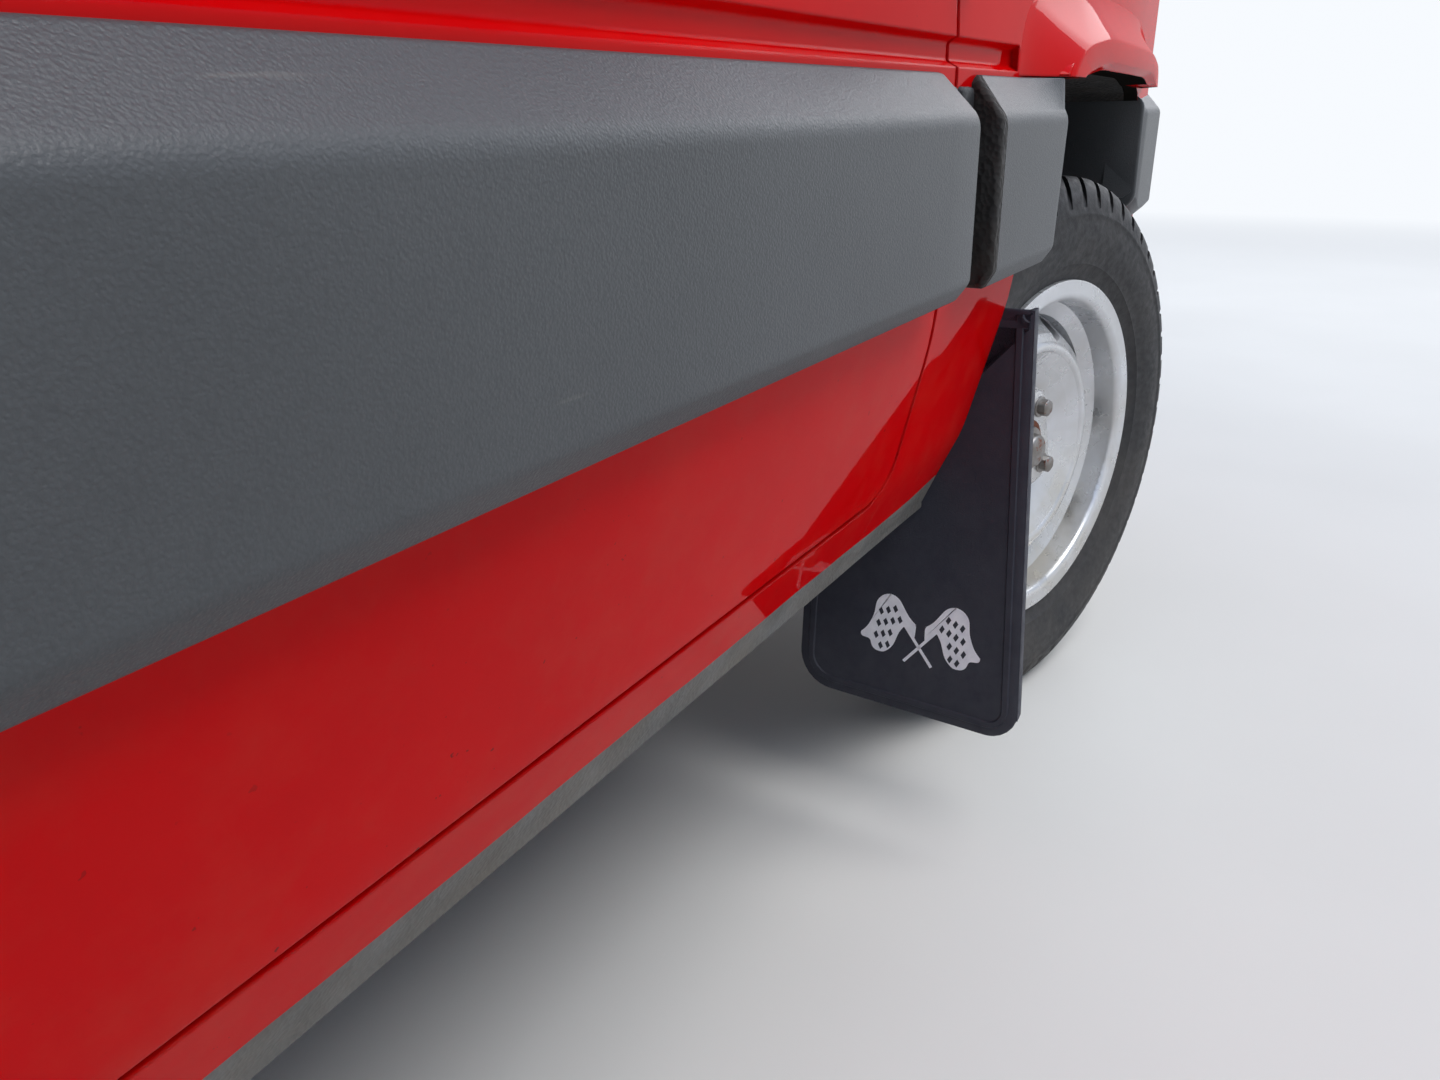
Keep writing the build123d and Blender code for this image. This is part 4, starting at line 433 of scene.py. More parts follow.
archReach = {"axles": (1.09, -1.08), "half": 0.353, "top": 0.668, "inner": 0.45}


def facesArch(tree, coords):
    # One on painted faces that look into a wheel arch, which are drawn near black without the clear coat, and
    # nought elsewhere: the product of facing inwards, standing low, far enough out and near enough to an
    # axle.
    place = addNode(tree, "SeparateXYZ", {"Vector": coords}).outputs
    facing = addNode(tree, "SeparateXYZ", {"Vector": addNode(tree, "TexCoord").outputs["Normal"]}).outputs
    side = maths(tree, "SIGN", place[1])
    inward = spread(tree, times(tree, facing[1], side), 0.05, 0.15, 1.0, 0.0)
    low = spread(tree, place[2], archReach["top"] - 0.004, archReach["top"], 1.0, 0.0)
    far = maths(tree, "ABSOLUTE", place[1])
    wide = spread(tree, far, archReach["inner"], archReach["inner"] + 0.01)
    near = 0.0
    for axle in archReach["axles"]:
        gap = maths(tree, "ABSOLUTE", plus(tree, place[0], -axle))
        near = plus(tree, near, spread(tree, gap, archReach["half"], archReach["half"] + 0.002, 1.0, 0.0))
    return times(tree, times(tree, inward, low), times(tree, wide, near))


def paintFinish(name, colour, deep):
    # Glossy enamel: a clear coat with a faint orange peel, stone chips low down and a film of dust.
    made, tree, shader, coords = newFinish(
        name, colour, 0.38, 0.0, Coat_Weight=0.3, Coat_Roughness=0.02, Coat_IOR=1.38, Specular_IOR_Level=0.0,
    )
    tone = spread(tree, noise(tree, coords, 4, 3), 0.3, 0.7)
    base = mixed(tree, tone, colour, deep)
    low = spread(tree, heightOf(tree, coords), 0.30, 0.75, 1.0, 0.0)
    chips = spread(tree, noise(tree, coords, 210, 2, 0.5), 0.735, 0.755)
    chips = times(tree, chips, spread(tree, noise(tree, coords, 9, 2), 0.45, 0.62))
    base = mixed(tree, times(tree, chips, low), base, linear(70, 26, 22))
    film = times(tree, low, spread(tree, noise(tree, coords, 22, 5, 0.65), 0.45, 0.8, 0.0, 0.1))
    base = mixed(tree, film, base, linear(188, 120, 92))
    hidden = facesArch(tree, coords)
    base = mixed(tree, hidden, base, linear(26, 24, 22))
    tree.links.new(base, shader.inputs["Base Color"])
    tree.links.new(spread(tree, hidden, 0.0, 1.0, 0.3, 0.0), shader.inputs["Coat Weight"])
    tree.links.new(spread(tree, noise(tree, coords, 60, 3), 0.3, 0.7, 0.3, 0.46), shader.inputs["Roughness"])
    rounded = addNode(tree, "Bevel", {"Radius": 0.0022}, samples=4).outputs[0]
    peel = bump(tree, shader, noise(tree, coords, 260, 2), 0.000004, normal=rounded)
    tree.links.new(peel, shader.inputs["Coat Normal"])
    return made


def glassFinish(name, tint, roughness=0.0):
    made, tree, shader, coords = newFinish(name, tint, roughness, 0.0, Transmission_Weight=1.0, IOR=1.45)
    smear = spread(tree, noise(tree, coords, 18, 4), 0.45, 0.8, roughness, roughness + 0.05)
    tree.links.new(smear, shader.inputs["Roughness"])
    return made


def grainFinish(name, colour, second, roughness):
    # Moulded plastic: small leather-like cells, faint scuffs and a chalky bloom.
    made, tree, shader, coords = newFinish(name, colour, roughness)
    cell = cells(tree, coords, 880, "SMOOTH_F1")
    fine = noise(tree, coords, 1300, 2, 0.6)
    grain = plus(tree, times(tree, cell, 0.8), times(tree, fine, 0.5))
    tone = spread(tree, noise(tree, coords, 7, 4, 0.6), 0.3, 0.7)
    base = mixed(tree, tone, colour, second)
    base = mixed(tree, spread(tree, cell, 0.25, 0.75, 0.0, 0.22), base, linear(34, 35, 37))
    scratch = spread(tree, noise(tree, coords, 70, 3, 0.5, stretch=(0.12, 1, 1.6)), 0.72, 0.76, 0.0, 0.35)
    base = mixed(tree, scratch, base, linear(116, 116, 112))
    tree.links.new(base, shader.inputs["Base Color"])
    tree.links.new(
        spread(tree, fine, 0.3, 0.7, roughness - 0.06, roughness + 0.1), shader.inputs["Roughness"],
    )
    bump(tree, shader, grain, 0.0003, 0.8)
    return made


def tailLensFinish():
    # The lamp's three fields by height, with upright ribs pressed into the plastic.
    made, tree, shader, coords = newFinish(
        "tailLens", linear(180, 10, 14), 0.14, 0.0, Transmission_Weight=0.3, IOR=1.49, Coat_Weight=0.6,
    )
    z = heightOf(tree, coords)
    base = mixed(tree, spread(tree, z, 0.7205, 0.722), linear(226, 224, 218), linear(176, 8, 14))
    base = mixed(tree, spread(tree, z, 0.7775, 0.779), base, linear(232, 106, 14))
    tree.links.new(base, shader.inputs["Base Color"])
    ribs = addNode(tree, "TexWave", {"Vector": coords, "Scale": 70.0}, bands_direction="Y").outputs[1]
    bump(tree, shader, ribs, 0.0006)
    return made


red = paintFinish("signalRed", linear(208, 4, 8), linear(196, 2, 6))
greyPlastic = grainFinish("grainedGreyPlastic", linear(72, 75, 78), linear(64, 67, 70), 0.46)
blackPlastic = grainFinish("blackPlastic", linear(34, 35, 37), linear(28, 29, 31), 0.55)
stoneGuard = speckled(
    "stoneGuard", linear(104, 105, 104), linear(88, 88, 86), 0.72, 24, 330, 0.0006, linear(122, 110, 92), 0.5,
    spots=linear(40, 36, 32), spotScale=90, spotEdge=0.7,
)
underseal = speckled(
    "underseal", linear(26, 26, 27), linear(38, 36, 34), 0.82, 20, 240, 0.0012, linear(92, 80, 64), 0.6,
)
chassisBlack = speckled(
    "chassisBlack", linear(32, 32, 33), linear(44, 41, 38), 0.55, 26, 0, 0, linear(96, 82, 64), 0.5,
    spots=linear(96, 52, 30), spotScale=36,
)
flapRubber = speckled(
    "flapRubber", linear(26, 28, 42), linear(32, 34, 48), 0.6, 34, 700, 0.0001, linear(70, 70, 78), 0.42,
)
tyreRubber = speckled(
    "tyreRubber", linear(24, 25, 28), linear(34, 34, 36), 0.66, 60, 520, 0.0001, linear(74, 70, 66), 0.55,
)
wheelSilver = speckled(
    "wheelSilver", linear(212, 214, 218), linear(198, 200, 204), 0.3, 14, 420, 0.00001, linear(186, 176, 150),
    0.5, 0.6,
)
hubIron = speckled(
    "hubIron", linear(150, 148, 146), linear(118, 112, 106), 0.42, 60, 0, 0, metallic=0.85,
    spots=linear(122, 62, 34), spotScale=70, spotEdge=0.56,
)
rustIron = speckled("rustIron", linear(118, 62, 36), linear(88, 50, 34), 0.85, 90, 260, 0.0004)
castMetal = speckled(
    "castMetal", linear(120, 120, 118), linear(96, 95, 92), 0.55, 16, 300, 0.0004, metallic=0.7,
    spots=linear(60, 48, 36), spotScale=22, spotEdge=0.6,
)
exhaustSteel = speckled(
    "exhaustSteel", linear(128, 122, 114), linear(104, 84, 66), 0.5, 12, 0, 0, linear(96, 82, 64), 0.5, 0.8,
    spots=linear(106, 60, 34), spotScale=26, spotEdge=0.6,
)
brightMetal = speckled(
    "brightMetal", linear(205, 205, 208), linear(190, 190, 192), 0.2, 40, metallic=1.0, roughSwing=0.06,
)
whiteMark = speckled("whiteMark", linear(246, 246, 252), linear(232, 232, 240), 0.6, 90, roughSwing=0.1)
whitePaint = speckled("blankPlate", linear(224, 224, 220), linear(212, 212, 208), 0.4, 20)
carpet = speckled("floorMat", linear(44, 44, 46), linear(34, 34, 36), 0.95, 160, 900, 0.0008)
clearGlass = glassFinish("windowGlass", linear(226, 238, 232))
lampGlass = glassFinish("lampGlass", linear(244, 246, 246), 0.02)
amberLens = newFinish(
    "amberLens", linear(232, 112, 16), 0.12, 0.0, Transmission_Weight=0.35, IOR=1.49, Coat_Weight=0.6,
)[0]
tailLens = tailLensFinish()
print("finishes made:", len(bpy.data.materials))


# CAD nodes that stay, and the finish each takes

kept = {
    "side_frame_right": red, "side_frame_left": red, "roof_panel": red, "cowl_panel": red, "front_wings": red,
    "front_panel": red, "rear_panel": red, "bonnet": red, "tailgate": red, "door_right": red,
    "door_left": red, "wheel_tubs": underseal, "floor_pan": underseal, "rear_floor": underseal,
    "fixed_glass": clearGlass, "tailgate_glass": clearGlass, "door_glass_right": clearGlass,
    "door_glass_left": clearGlass, "engine_block": castMetal, "front_subframe": chassisBlack,
    "drive_shafts": chassisBlack, "rear_axle": chassisBlack, "fuel_tank": chassisBlack,
    "exhaust": exhaustSteel, "knuckle_right": chassisBlack, "knuckle_left": chassisBlack,
    "dashboard": blackPlastic, "steering_wheel": blackPlastic, "headlamps": lampGlass, "rear_lamps": tailLens,
    "body_bands": greyPlastic, "door_trim_right": greyPlastic, "door_trim_left": greyPlastic,
    "front_bumper": greyPlastic, "rear_bumper": greyPlastic, "mud_flaps": flapRubber, "front_seats": carpet,
    "rear_bench": carpet,
}
for corner in ("front_right", "front_left", "rear_right", "rear_left"):
    kept[f"tyre_{corner}"], kept[f"rim_{corner}"], kept[f"hub_{corner}"] = tyreRubber, wheelSilver, hubIron
for name, finish in kept.items():
    data = nodes[name].data
    if not data.materials:
        data.materials.append(finish)
    for i in range(len(data.materials)):
        data.materials[i] = finish
print("CAD nodes dressed:", len(kept), "missing:", sorted(set(nodes) - set(kept)))


# Side bands of grained plastic

band = {
    "outline": [(712, 518, 2), (742, 518, 5), (750, 530, 9), (750, 622, 16), (728, 647, 4), (712, 647, 2)],
    "doorSpan": (-397.0, 578.5), "wingRear": 620.5, "rearFront": -414.0, "cornerTop": 14.0, "cornerFoot": 8.0,
    "edge": 3.0, "meetLength": 80.0, "meetShare": 0.75, "faceY": 750.0, "slopeFoot": 624.0,
    "slopeBlend": 20.0, "wallY": 716.0, "wallBlend": 10.0, "halfHeight": 60.0, "archGap": 1.0,
}


def bandShell(rearX, frontX, corner=(1, 1), finish=0, meets=0):
    # The cross-section carried along X. Near each end it shrinks on a quarter circle, and its end line
    # bends back on a larger one towards the top and the bottom edge. At the arch, where meets is 1 for the
    # front end and -1 for the rear, the sloping top moves out to the flare by the square of the nearness.
    outline = roundedOutline(band["outline"], 7)
    y, z = outline[:, 0], outline[:, 1]
    top, foot = z.max(), z.min()
    fromTop = np.clip(z - (top - band["cornerTop"]), 0, band["cornerTop"])
    fromFoot = np.clip((foot + band["cornerFoot"]) - z, 0, band["cornerFoot"])
    bend = band["cornerTop"] - np.sqrt(band["cornerTop"] ** 2 - fromTop**2)
    bend = bend + band["cornerFoot"] - np.sqrt(band["cornerFoot"] ** 2 - fromFoot**2)
    middle = (top + foot) / 2
    r = band["edge"]
    turn = np.linspace(0, math.pi / 2, 6)
    rear = rearX(z) if callable(rearX) else np.full_like(z, rearX)
    front = frontX(z) if callable(frontX) else np.full_like(z, frontX)
    rear, front = rear + corner[0] * bend, front - corner[1] * bend
    columns = []
    for t in turn:
        shrink = r * (1 - math.sin(t))
        columns.append((rear + r * (1 - math.cos(t)), shrink))
    for share in np.linspace(0, 1, 24)[1:-1]:
        columns.append((rear + r + (front - rear - 2 * r) * share, 0.0))
    for t in turn[::-1]:
        columns.append((front - r * (1 - math.cos(t)), r * (1 - math.sin(t))))
    grid = []
    for x, shrink in columns:
        inward = np.clip((y - band["wallY"]) / band["wallBlend"], 0, 1) * shrink
        reach = np.clip(
            1 - np.abs(x - (front if meets > 0 else rear)) / band["meetLength"], 0, 1,
        ) ** 2 * abs(meets)
        rise = np.clip((z - band["slopeFoot"]) / band["slopeBlend"], 0, 1) * (y > band["wallY"])
        inward = inward - reach * band["meetShare"] * (band["faceY"] - y) * rise
        fromMiddle = np.sign(z - middle) * np.clip(np.abs(z - middle) / band["halfHeight"], 0, 1) ** 3
        grid.append(pointsOf(x, y - inward, z - fromMiddle * shrink))
    # The rear end takes its own finish, a darker one that paints the shade falling on it in the gap behind
    # the door.
    points, (sheet, caps), _ = closedSkin(np.stack(grid))
    atEnd = len(turn) * len(outline)
    return [(points, [sheet[atEnd:], caps[1:]], 0), (points, [sheet[:atEnd], caps[:1]], finish)]


def frontArch(z):
    return archEdgeX(frontAxleX, z) - band["archGap"]


def rearArch(z):
    return archEdgeX(rearAxleX, z, 1) + band["archGap"]


makePair(
    "doorBand", bandShell(*band["doorSpan"]), greyPlastic, "door_SIDE", replaces=["door_trim_SIDE"], sharp=50,
)
# The wing band's rear end takes the dark underseal as painted shade in the gap behind the door.
makePair(
    "wingBand", bandShell(band["wingRear"], frontArch, (1, 0), 1, 1), [greyPlastic, underseal],
    replaces=["body_bands"], sharp=50,
)
makePair("quarterBand", bandShell(rearArch, band["rearFront"], (0, 1), 0, -1), greyPlastic, sharp=50)
print("side bands made")


# Stone guard along the sill

sill = {
    "from": -737.0, "to": 752.0, "top": 336.5, "foot": 312.6, "under": 313.2, "proud": 0.7, "wrap": 46.0,
    "wall": (0, -1.4, 0.8), "rise": 6.0, "riseFrom": 660.0, "riseLength": 90.0, "rows": 8,
}


def sillShell():
    # Rows step from the red line down the skin, round the corner and inwards below. The line is two sine
    # waves along the sill, and rises by the square of the distance near the front end.
    x = np.linspace(sill["from"], sill["to"], 60)
    rise = sill["rise"] * np.clip((x - sill["riseFrom"]) / sill["riseLength"], 0, 1) ** 2
    wave = 0.5 * np.sin(x / 37.0) + 0.4 * np.sin(x / 13.0 + 1)
    curl, drop = np.array([(0, 0.0), (0.4, 1.0), (2.2, 1.6), (12, 1.8), (sill["wrap"], 1.8)]).T
    rows = sill["rows"]
    level = np.concatenate([np.linspace(1, 0.16, rows), np.zeros(len(curl))])
    z = sill["foot"] + ((sill["top"] + rise + wave)[:, None] - sill["foot"]) * level
    y = skinY(x[:, None], np.maximum(z, 314)) + sill["proud"] * np.minimum(np.arange(len(level)), 1)
    y[:, rows:] = y[:, rows - 1 : rows] - curl
    z[:, rows:] = sill["under"] - drop
    grid = pointsOf(x[:, None], y, z)
    back = grid[:, ::-1] + np.array(sill["wall"])
    return closedSkin(np.concatenate([grid, back], 1))


makePair("sillGuard", [sillShell()], stoneGuard, slot="stone_guard", sharp=60)


# Mud flaps with a moulded border and crossed chequered flags

flap = {
    "outline": [
        (560, 125, 34), (770, 118, 26), (741.6, 482, 3), (676, 482, 3), (664, 402, 20), (630, 384, 20),
        (560, 384, 8),
    ],
    "wall": 5.0, "rim": 1.3, "rimFrom": 9.0, "rimTo": 13.5, "lipDepth": 15.0, "flagCentre": (675.0, 187.0),
    "flagSize": 0.98,
}


def inward(outline, amount):
    # Each point moved across its two neighbours' line, towards the inside of an anticlockwise outline.
    along = np.roll(outline, -1, 0) - np.roll(outline, 1, 0)
    along /= np.maximum(np.linalg.norm(along, axis=1, keepdims=True), 1e-9)
    return outline + amount * np.stack([-along[:, 1], along[:, 0]], -1)


def densified(outline, step=8.0):
    # Extra points on the long sides, so that offset rings keep their shape.
    following = np.roll(outline, -1, 0)
    length = np.linalg.norm(following - outline, axis=1)
    pieces = [
        a + (b - a) * np.linspace(0, 1, max(1, int(l / step)), endpoint=False)[:, None]
        for a, b, l in zip(outline, following, length)
    ]
    return np.concatenate(pieces)


def plate(outline, rings, back):
    # The flat back, then rings of the outline at (inset, height) steps; both ends close with one face.
    layers = [
        np.column_stack([inward(outline, 1.0), np.full(len(outline), back)]),
        np.column_stack([outline, np.full(len(outline), back + 1.0)]),
    ]
    for inset, height in rings:
        layers.append(np.column_stack([
            inward(outline, inset) if inset else outline, np.full(len(outline), height),
        ]))
    return closedSkin(np.stack(layers))


def flapShells(axleX):
    outline = densified(roundedOutline(flap["outline"], 8), 9)
    r, a, b = flap["rim"], flap["rimFrom"], flap["rimTo"]
    rings = [(0, 3.6), (0.6, 4.6), (1.6, 5.0), (a - 1.0, 5.0), (a, 5.0 + r), (b, 5.0 + r), (b + 1.0, 5.0)]
    face = plate(outline, rings, 0.0)
    # Height above the front face turns into distance behind the arch edge's line.
    y, z, h = face[0].T
    x = archEdgeX(axleX, z) + 0.4 + flap["wall"] - h
    sheet = (pointsOf(x, y, z), face[1], 0)
    z = np.linspace(140, 482, 24)
    lipX = archEdgeX(axleX, z)
    lipRows = np.array([
        (0.6, 0), (0.6, -4.4), (3, -5), (flap["lipDepth"], -3.8), (flap["lipDepth"] + 0.8, -2.4),
        (flap["lipDepth"], -1), (2.5, 0),
    ])
    lipY = np.interp(z, [118, 482], [770, 741.6])
    grid = pointsOf(lipX[:, None] + lipRows[:, 0], lipY[:, None] + lipRows[:, 1], z[:, None])
    shells = [sheet, closedSkin(grid)]
    for y, z in ((640, 366), (580, 366)):
        x = archEdgeX(axleX, z) + 0.2
        shells.append(placed(
            turned([(0, 0), (5, 0), (5.5, 1.2), (4.5, 2.2), (0, 2.8)], 16, 1), (x, y, z), math.pi / 2, "Z",
        ))
    return shells


flag = {
    "outline": [
        (15.5, 15.8, 1), (20, 8.6, 20), (25, -6.8, 20), (33, -13.6, 8), (44, -13.4, 8), (47, -3.4, 4),
        (61, -1.8, 3), (51, 6.4, 30), (45, 21, 30), (42.5, 43.6, 14), (24, 43.4, 14), (10, 22.8, 30),
        (4.2, 19.4, 5), (4.6, 9.4, 1), (5.2, 3.0, 1),
    ],
    "pole": [(-13.2, -17.6), (17.0, 19.4)], "poleHalf": 1.35, "rowStep": (1.6, -11.9),
    "placeStep": (6.7, -2.4), "lattice": (30.0, 40.0), "diamond": (2.5, 3.9), "margin": 1.2,
}


def within(points, outline):
    # Crossing count of a ray to the right; odd means inside.
    x, y = points[:, :1], points[:, 1:]
    a, b = outline, np.roll(outline, -1, 0)
    straddles = (a[:, 1] > y) != (b[:, 1] > y)
    at = a[:, 0] + (y - a[:, 1]) * (b[:, 0] - a[:, 0]) / np.where(b[:, 1] == a[:, 1], 1e-9, b[:, 1] - a[:, 1])
    return (straddles & (x < at)).sum(1) % 2 == 1


def flagShells(axleX):
    # A pale flag on its pole and its mirror twin. The dark diamonds stand on a slanted lattice, and stay
    # where all four corners lie inside the flag's outline by the margin.
    cloth = densified(roundedOutline(flag["outline"], 8), 3)
    i, j = np.meshgrid(np.arange(-9, 14), np.arange(-3, 9), indexing="ij")
    centres = i.reshape(-1, 1) * flag["placeStep"] + j.reshape(-1, 1) * flag["rowStep"] + flag["lattice"]
    wide, tall = flag["diamond"]
    corner = np.array([(0, -tall), (wide, 0.8), (0, tall), (-wide, -0.8)])
    diamonds = centres[:, None] + corner
    grown = centres[:, None] + corner * (1 + flag["margin"] / wide * 0.6)
    kept = within(grown.reshape(-1, 2), cloth).reshape(-1, 4).all(1)
    kept &= within(centres + [-4.5, 1.5], cloth)
    diamonds = diamonds[kept]
    low, high = (np.array(end, float) for end in flag["pole"])
    along = (high - low) / np.linalg.norm(high - low)
    aside = np.array([-along[1], along[0]]) * flag["poleHalf"]
    pole = np.array([low + aside, low - aside, high - aside, high + aside])
    shells = []
    for way in (-1, 1):
        for drawing, lift, finish in ((cloth[None], 0.35, 0), (pole[None], 0.3, 0), (diamonds, 0.5, 1)):
            count, width = drawing.shape[:2]
            faces = np.arange(count * width).reshape(count, width)
            shells.append(flagSheet(drawing.reshape(-1, 2) * [way, 1], faces, axleX, lift, finish))
    return shells


def flagSheet(points, faces, axleX, lift, finish):
    # A flat drawing on the flap's rear face, given a thickness of paint by its two faces and the rim between.
    y, z = (flap["flagCentre"] + points * flap["flagSize"]).T
    x = archEdgeX(axleX, z) + 0.4
    count = len(points)
    low, high = pointsOf(x + 0.3, y, z), pointsOf(x - lift, y, z)
    rim = np.stack([faces, np.roll(faces, -1, 1)], -1).reshape(-1, 2)
    walls = np.column_stack([rim, rim[:, ::-1] + count])
    return np.concatenate([low, high]), [faces, faces[:, ::-1] + count, walls], finish


for end, axleX in (("front", frontAxleX), ("rear", rearAxleX)):
    makePair(
        f"mudFlap_{end}", flapShells(axleX), [flapRubber, hubIron], slot="flap_rubber",
        replaces=["mud_flaps"], sharp=40,
    )
    makePair(f"flapFlags_{end}", flagShells(axleX), [whiteMark, flapRubber], slot="flap_rubber", sharp=60)
print("mud flaps made")


# Wheels: tyre, flange rings, bolts, centre nut and valve

tyreShape = {
    "blocks": 54, "groove": 7.5, "slot": 0.2, "wall": 0.035, "ringAt": (-34.0, 34.0), "skew": 0.9,
    "treadFrom": 275,
}


def tyreShell(axleX, side):
    # A profile of (radius, distance outwards, tread share) turned about the axle. The tread share times a
    # mask of cross slots and ring grooves comes off the radius; the angle shifts with the distance outwards.
    shape = tyreShape
    half = [
        (166, 49, 0), (170, 55, 0), (176, 56.6, 0), (184, 57.2, 0), (190, 60.5, 0), (197, 63.8, 0),
        (198.6, 65.4, 0), (200.6, 65.2, 0), (208, 68.4, 0), (218, 70.8, 0), (228, 72.0, 0), (238, 71.6, 0),
        (245, 70.6, 0), (246.4, 71.4, 0), (248.0, 70.9, 0), (253, 69.4, 0), (254, 69.2, 0.35),
        (262, 66.4, 0.6), (270, 62.0, 0.9), (275, 57.5, 1), (279.2, 52.5, 1), (281.2, 47.5, 1),
        (281.9, 40, 1),
    ]
    edge = [(282.0, 34 + s, 1) for s in (3.6, 3.0, -3.0, -3.6)]
    crown = edge + [(282.5, 24, 1), (282.8, 12, 1), (283, 4, 1), (283, 2.4, 1)]
    outer = np.array(half + crown)
    flip = outer[::-1] * [1, -1, 1]
    inner = np.array([
        (166, -46, 0), (168, -44, 0), (190, -50, 0), (224, -62, 0), (258, -52, 0), (269, -38, 0), (270, 0, 0),
        (269, 38, 0), (258, 52, 0), (224, 62, 0), (190, 50, 0), (168, 44, 0), (166, 46, 0),
    ])
    rows = np.concatenate([outer, flip, inner])
    radius, out, tread = rows.T
    stops = np.array([0, shape["slot"], shape["slot"] + shape["wall"], 0.42, 0.62, 0.8, 1 - shape["wall"]])
    turn = ((np.arange(shape["blocks"])[:, None] + stops) / shape["blocks"]).ravel()
    phase = np.tile(stops, shape["blocks"])
    slot = (phase <= shape["slot"] + 1e-6) * 1.0
    ring = np.zeros_like(out)
    for at in shape["ringAt"]:
        ring = np.maximum(ring, (np.abs(out - at) < 3.3) & (radius > shape["treadFrom"]))
    ring = np.maximum(ring, ((np.abs(out) < 3.0) & (radius > shape["treadFrom"])) * 0.8)
    cut = tread * shape["groove"] * np.maximum(slot[:, None], ring[None, :])
    shift = shape["skew"] / shape["blocks"] * np.abs(out) / 30.0
    angle = math.tau * (turn[:, None] + shift[None, :])
    squash = np.clip((radius - 245) / 20, 0, 1)
    r = radius[None, :] - cut * squash[None, :]
    y = side * (halfTrack + out[None, :] - np.sign(out)[None, :] * cut * (1 - squash[None, :]) * 0.4)
    grid = pointsOf(axleX + r * np.cos(angle), y, axleZ + r * np.sin(angle))
    return surface(grid, closeRows=True, closeCols=True)


rimShape = {"bolts": 4, "boltTurn": math.radians(58), "padOut": 33.0, "pad": 60.0}


def rimShells(axleX, side):
    # Rings over the pressed wheel: the rolled flange with its second ridge, the crest, and the flange's twin
    # on the inner side.
    centre = (axleX, side * halfTrack, axleZ)
    flange = [
        (163.5, 52), (166, 55.4), (169, 57.4), (172.6, 57.8), (175, 57.2), (177.4, 57.6), (180.2, 59.6),
        (182, 60.6), (182.0, 61.4), (181, 61.9), (178.6, 61.2), (175.6, 59.4), (172.8, 59.9), (169.4, 60.2),
        (165, 58.4), (161.6, 54.4), (160.6, 48), (162.2, 44),
    ]
    crest = [(104, 39.6), (107, 43.6), (110.4, 45.2), (114, 44.4), (117, 41.4), (114, 38), (108, 37)]
    inner = [(flange[i][0], -flange[i][1]) for i in range(len(flange))][::-1]
    shells = [lathed(flange, centre, side, 128), lathed(crest, centre, side), lathed(inner, centre, side)]
    return shells


def hexNut(centre, side, across, height, dome=0.0):
    # A six-sided nut with a bevelled top: radius follows 1 / cos of the angle to the nearest flat.
    t = np.linspace(0, math.tau, 48, endpoint=False)
    flat = across / 2 / np.cos((t + math.pi / 6) % (math.pi / 3) - math.pi / 6)
    layers = [
        (1.0, 0.0), (1.0, height * 0.86), (0.86, height), (0.5, height + dome * 0.7), (0.001, height + dome),
    ]
    grid = []
    for share, out in layers:
        r = np.minimum(flat, across / 2 * 1.09) * share
        grid.append(pointsOf(centre[0] + r * np.cos(t), centre[1] + side * out, centre[2] + r * np.sin(t)))
    return closedSkin(np.stack(grid))


def hubShells(axleX, side):
    # A four-lobed pad, bolt heads with washers, the rusty seat and the centre nut with its dished cap.
    y = side * (halfTrack + rimShape["padOut"])
    shells = []
    t = np.linspace(0, math.tau, 96, endpoint=False)
    lobe = rimShape["pad"] + 7 * np.cos(4 * (t - rimShape["boltTurn"]))
    rings = [(0.05, 0), (0.9, 0), (0.97, -1.2), (1.0, -4), (1.03, -12), (1.07, -18.5), (0.5, -18.5)]
    grid = [
        pointsOf(axleX + lobe * r * np.cos(t), y + side * out, axleZ + lobe * r * np.sin(t))
        for r, out in rings
    ]
    shells.append(closedSkin(np.stack(grid), 2))
    for i in range(rimShape["bolts"]):
        a = rimShape["boltTurn"] + math.tau * i / rimShape["bolts"]
        at = (axleX + 49 * math.cos(a), y, axleZ + 49 * math.sin(a))
        shells.append(turned([(0, 0), (11.5, 0), (11.5, 1.6), (9.5, 2.6), (0, 2.6)], 24, place=at, side=side))
        shells.append(hexNut((at[0], y + side * 2, at[2]), side, 17, 9.5, 1.2))
    centre = (axleX, y, axleZ)
    shells.append(lathed(
        [(24, -3), (31.5, -0.6), (32.2, 2.4), (29.5, 3.8), (24.6, 3.2)], centre, side, 48, 1,
    ))
    shells.append(turned(
        [
            (0, 0), (24, 0), (25.4, 1.6), (25.6, 5), (24.2, 8), (19, 9), (15.5, 9.4), (13.8, 13),
            (12.6, 16.4), (8, 17.6), (7.4, 15.6), (0, 15.0),
        ],
        48, place=centre, side=side,
    ))
    shells.append(hexNut((axleX, y + side * 8.4, axleZ), side, 30, 5.5))
    return shells


def valveShell(axleX, side):
    # A rubber stem that leans out of the disc, with a wider cap.
    y = side * (halfTrack + 31)
    a = math.radians(200)
    foot = np.array([axleX + 124 * math.cos(a), y, axleZ + 124 * math.sin(a)])
    tip = np.array([axleX + 108 * math.cos(a), side * (halfTrack + 60), axleZ + 108 * math.sin(a)])
    stem = smoothPath([foot, foot * 0.45 + tip * 0.55, tip], 14)
    return tube(
        stem, np.interp(np.linspace(0, 1, 14), [0, 0.25, 0.6, 0.62, 1], [5.6, 4.2, 3.6, 4.4, 4.2]), 16,
    )


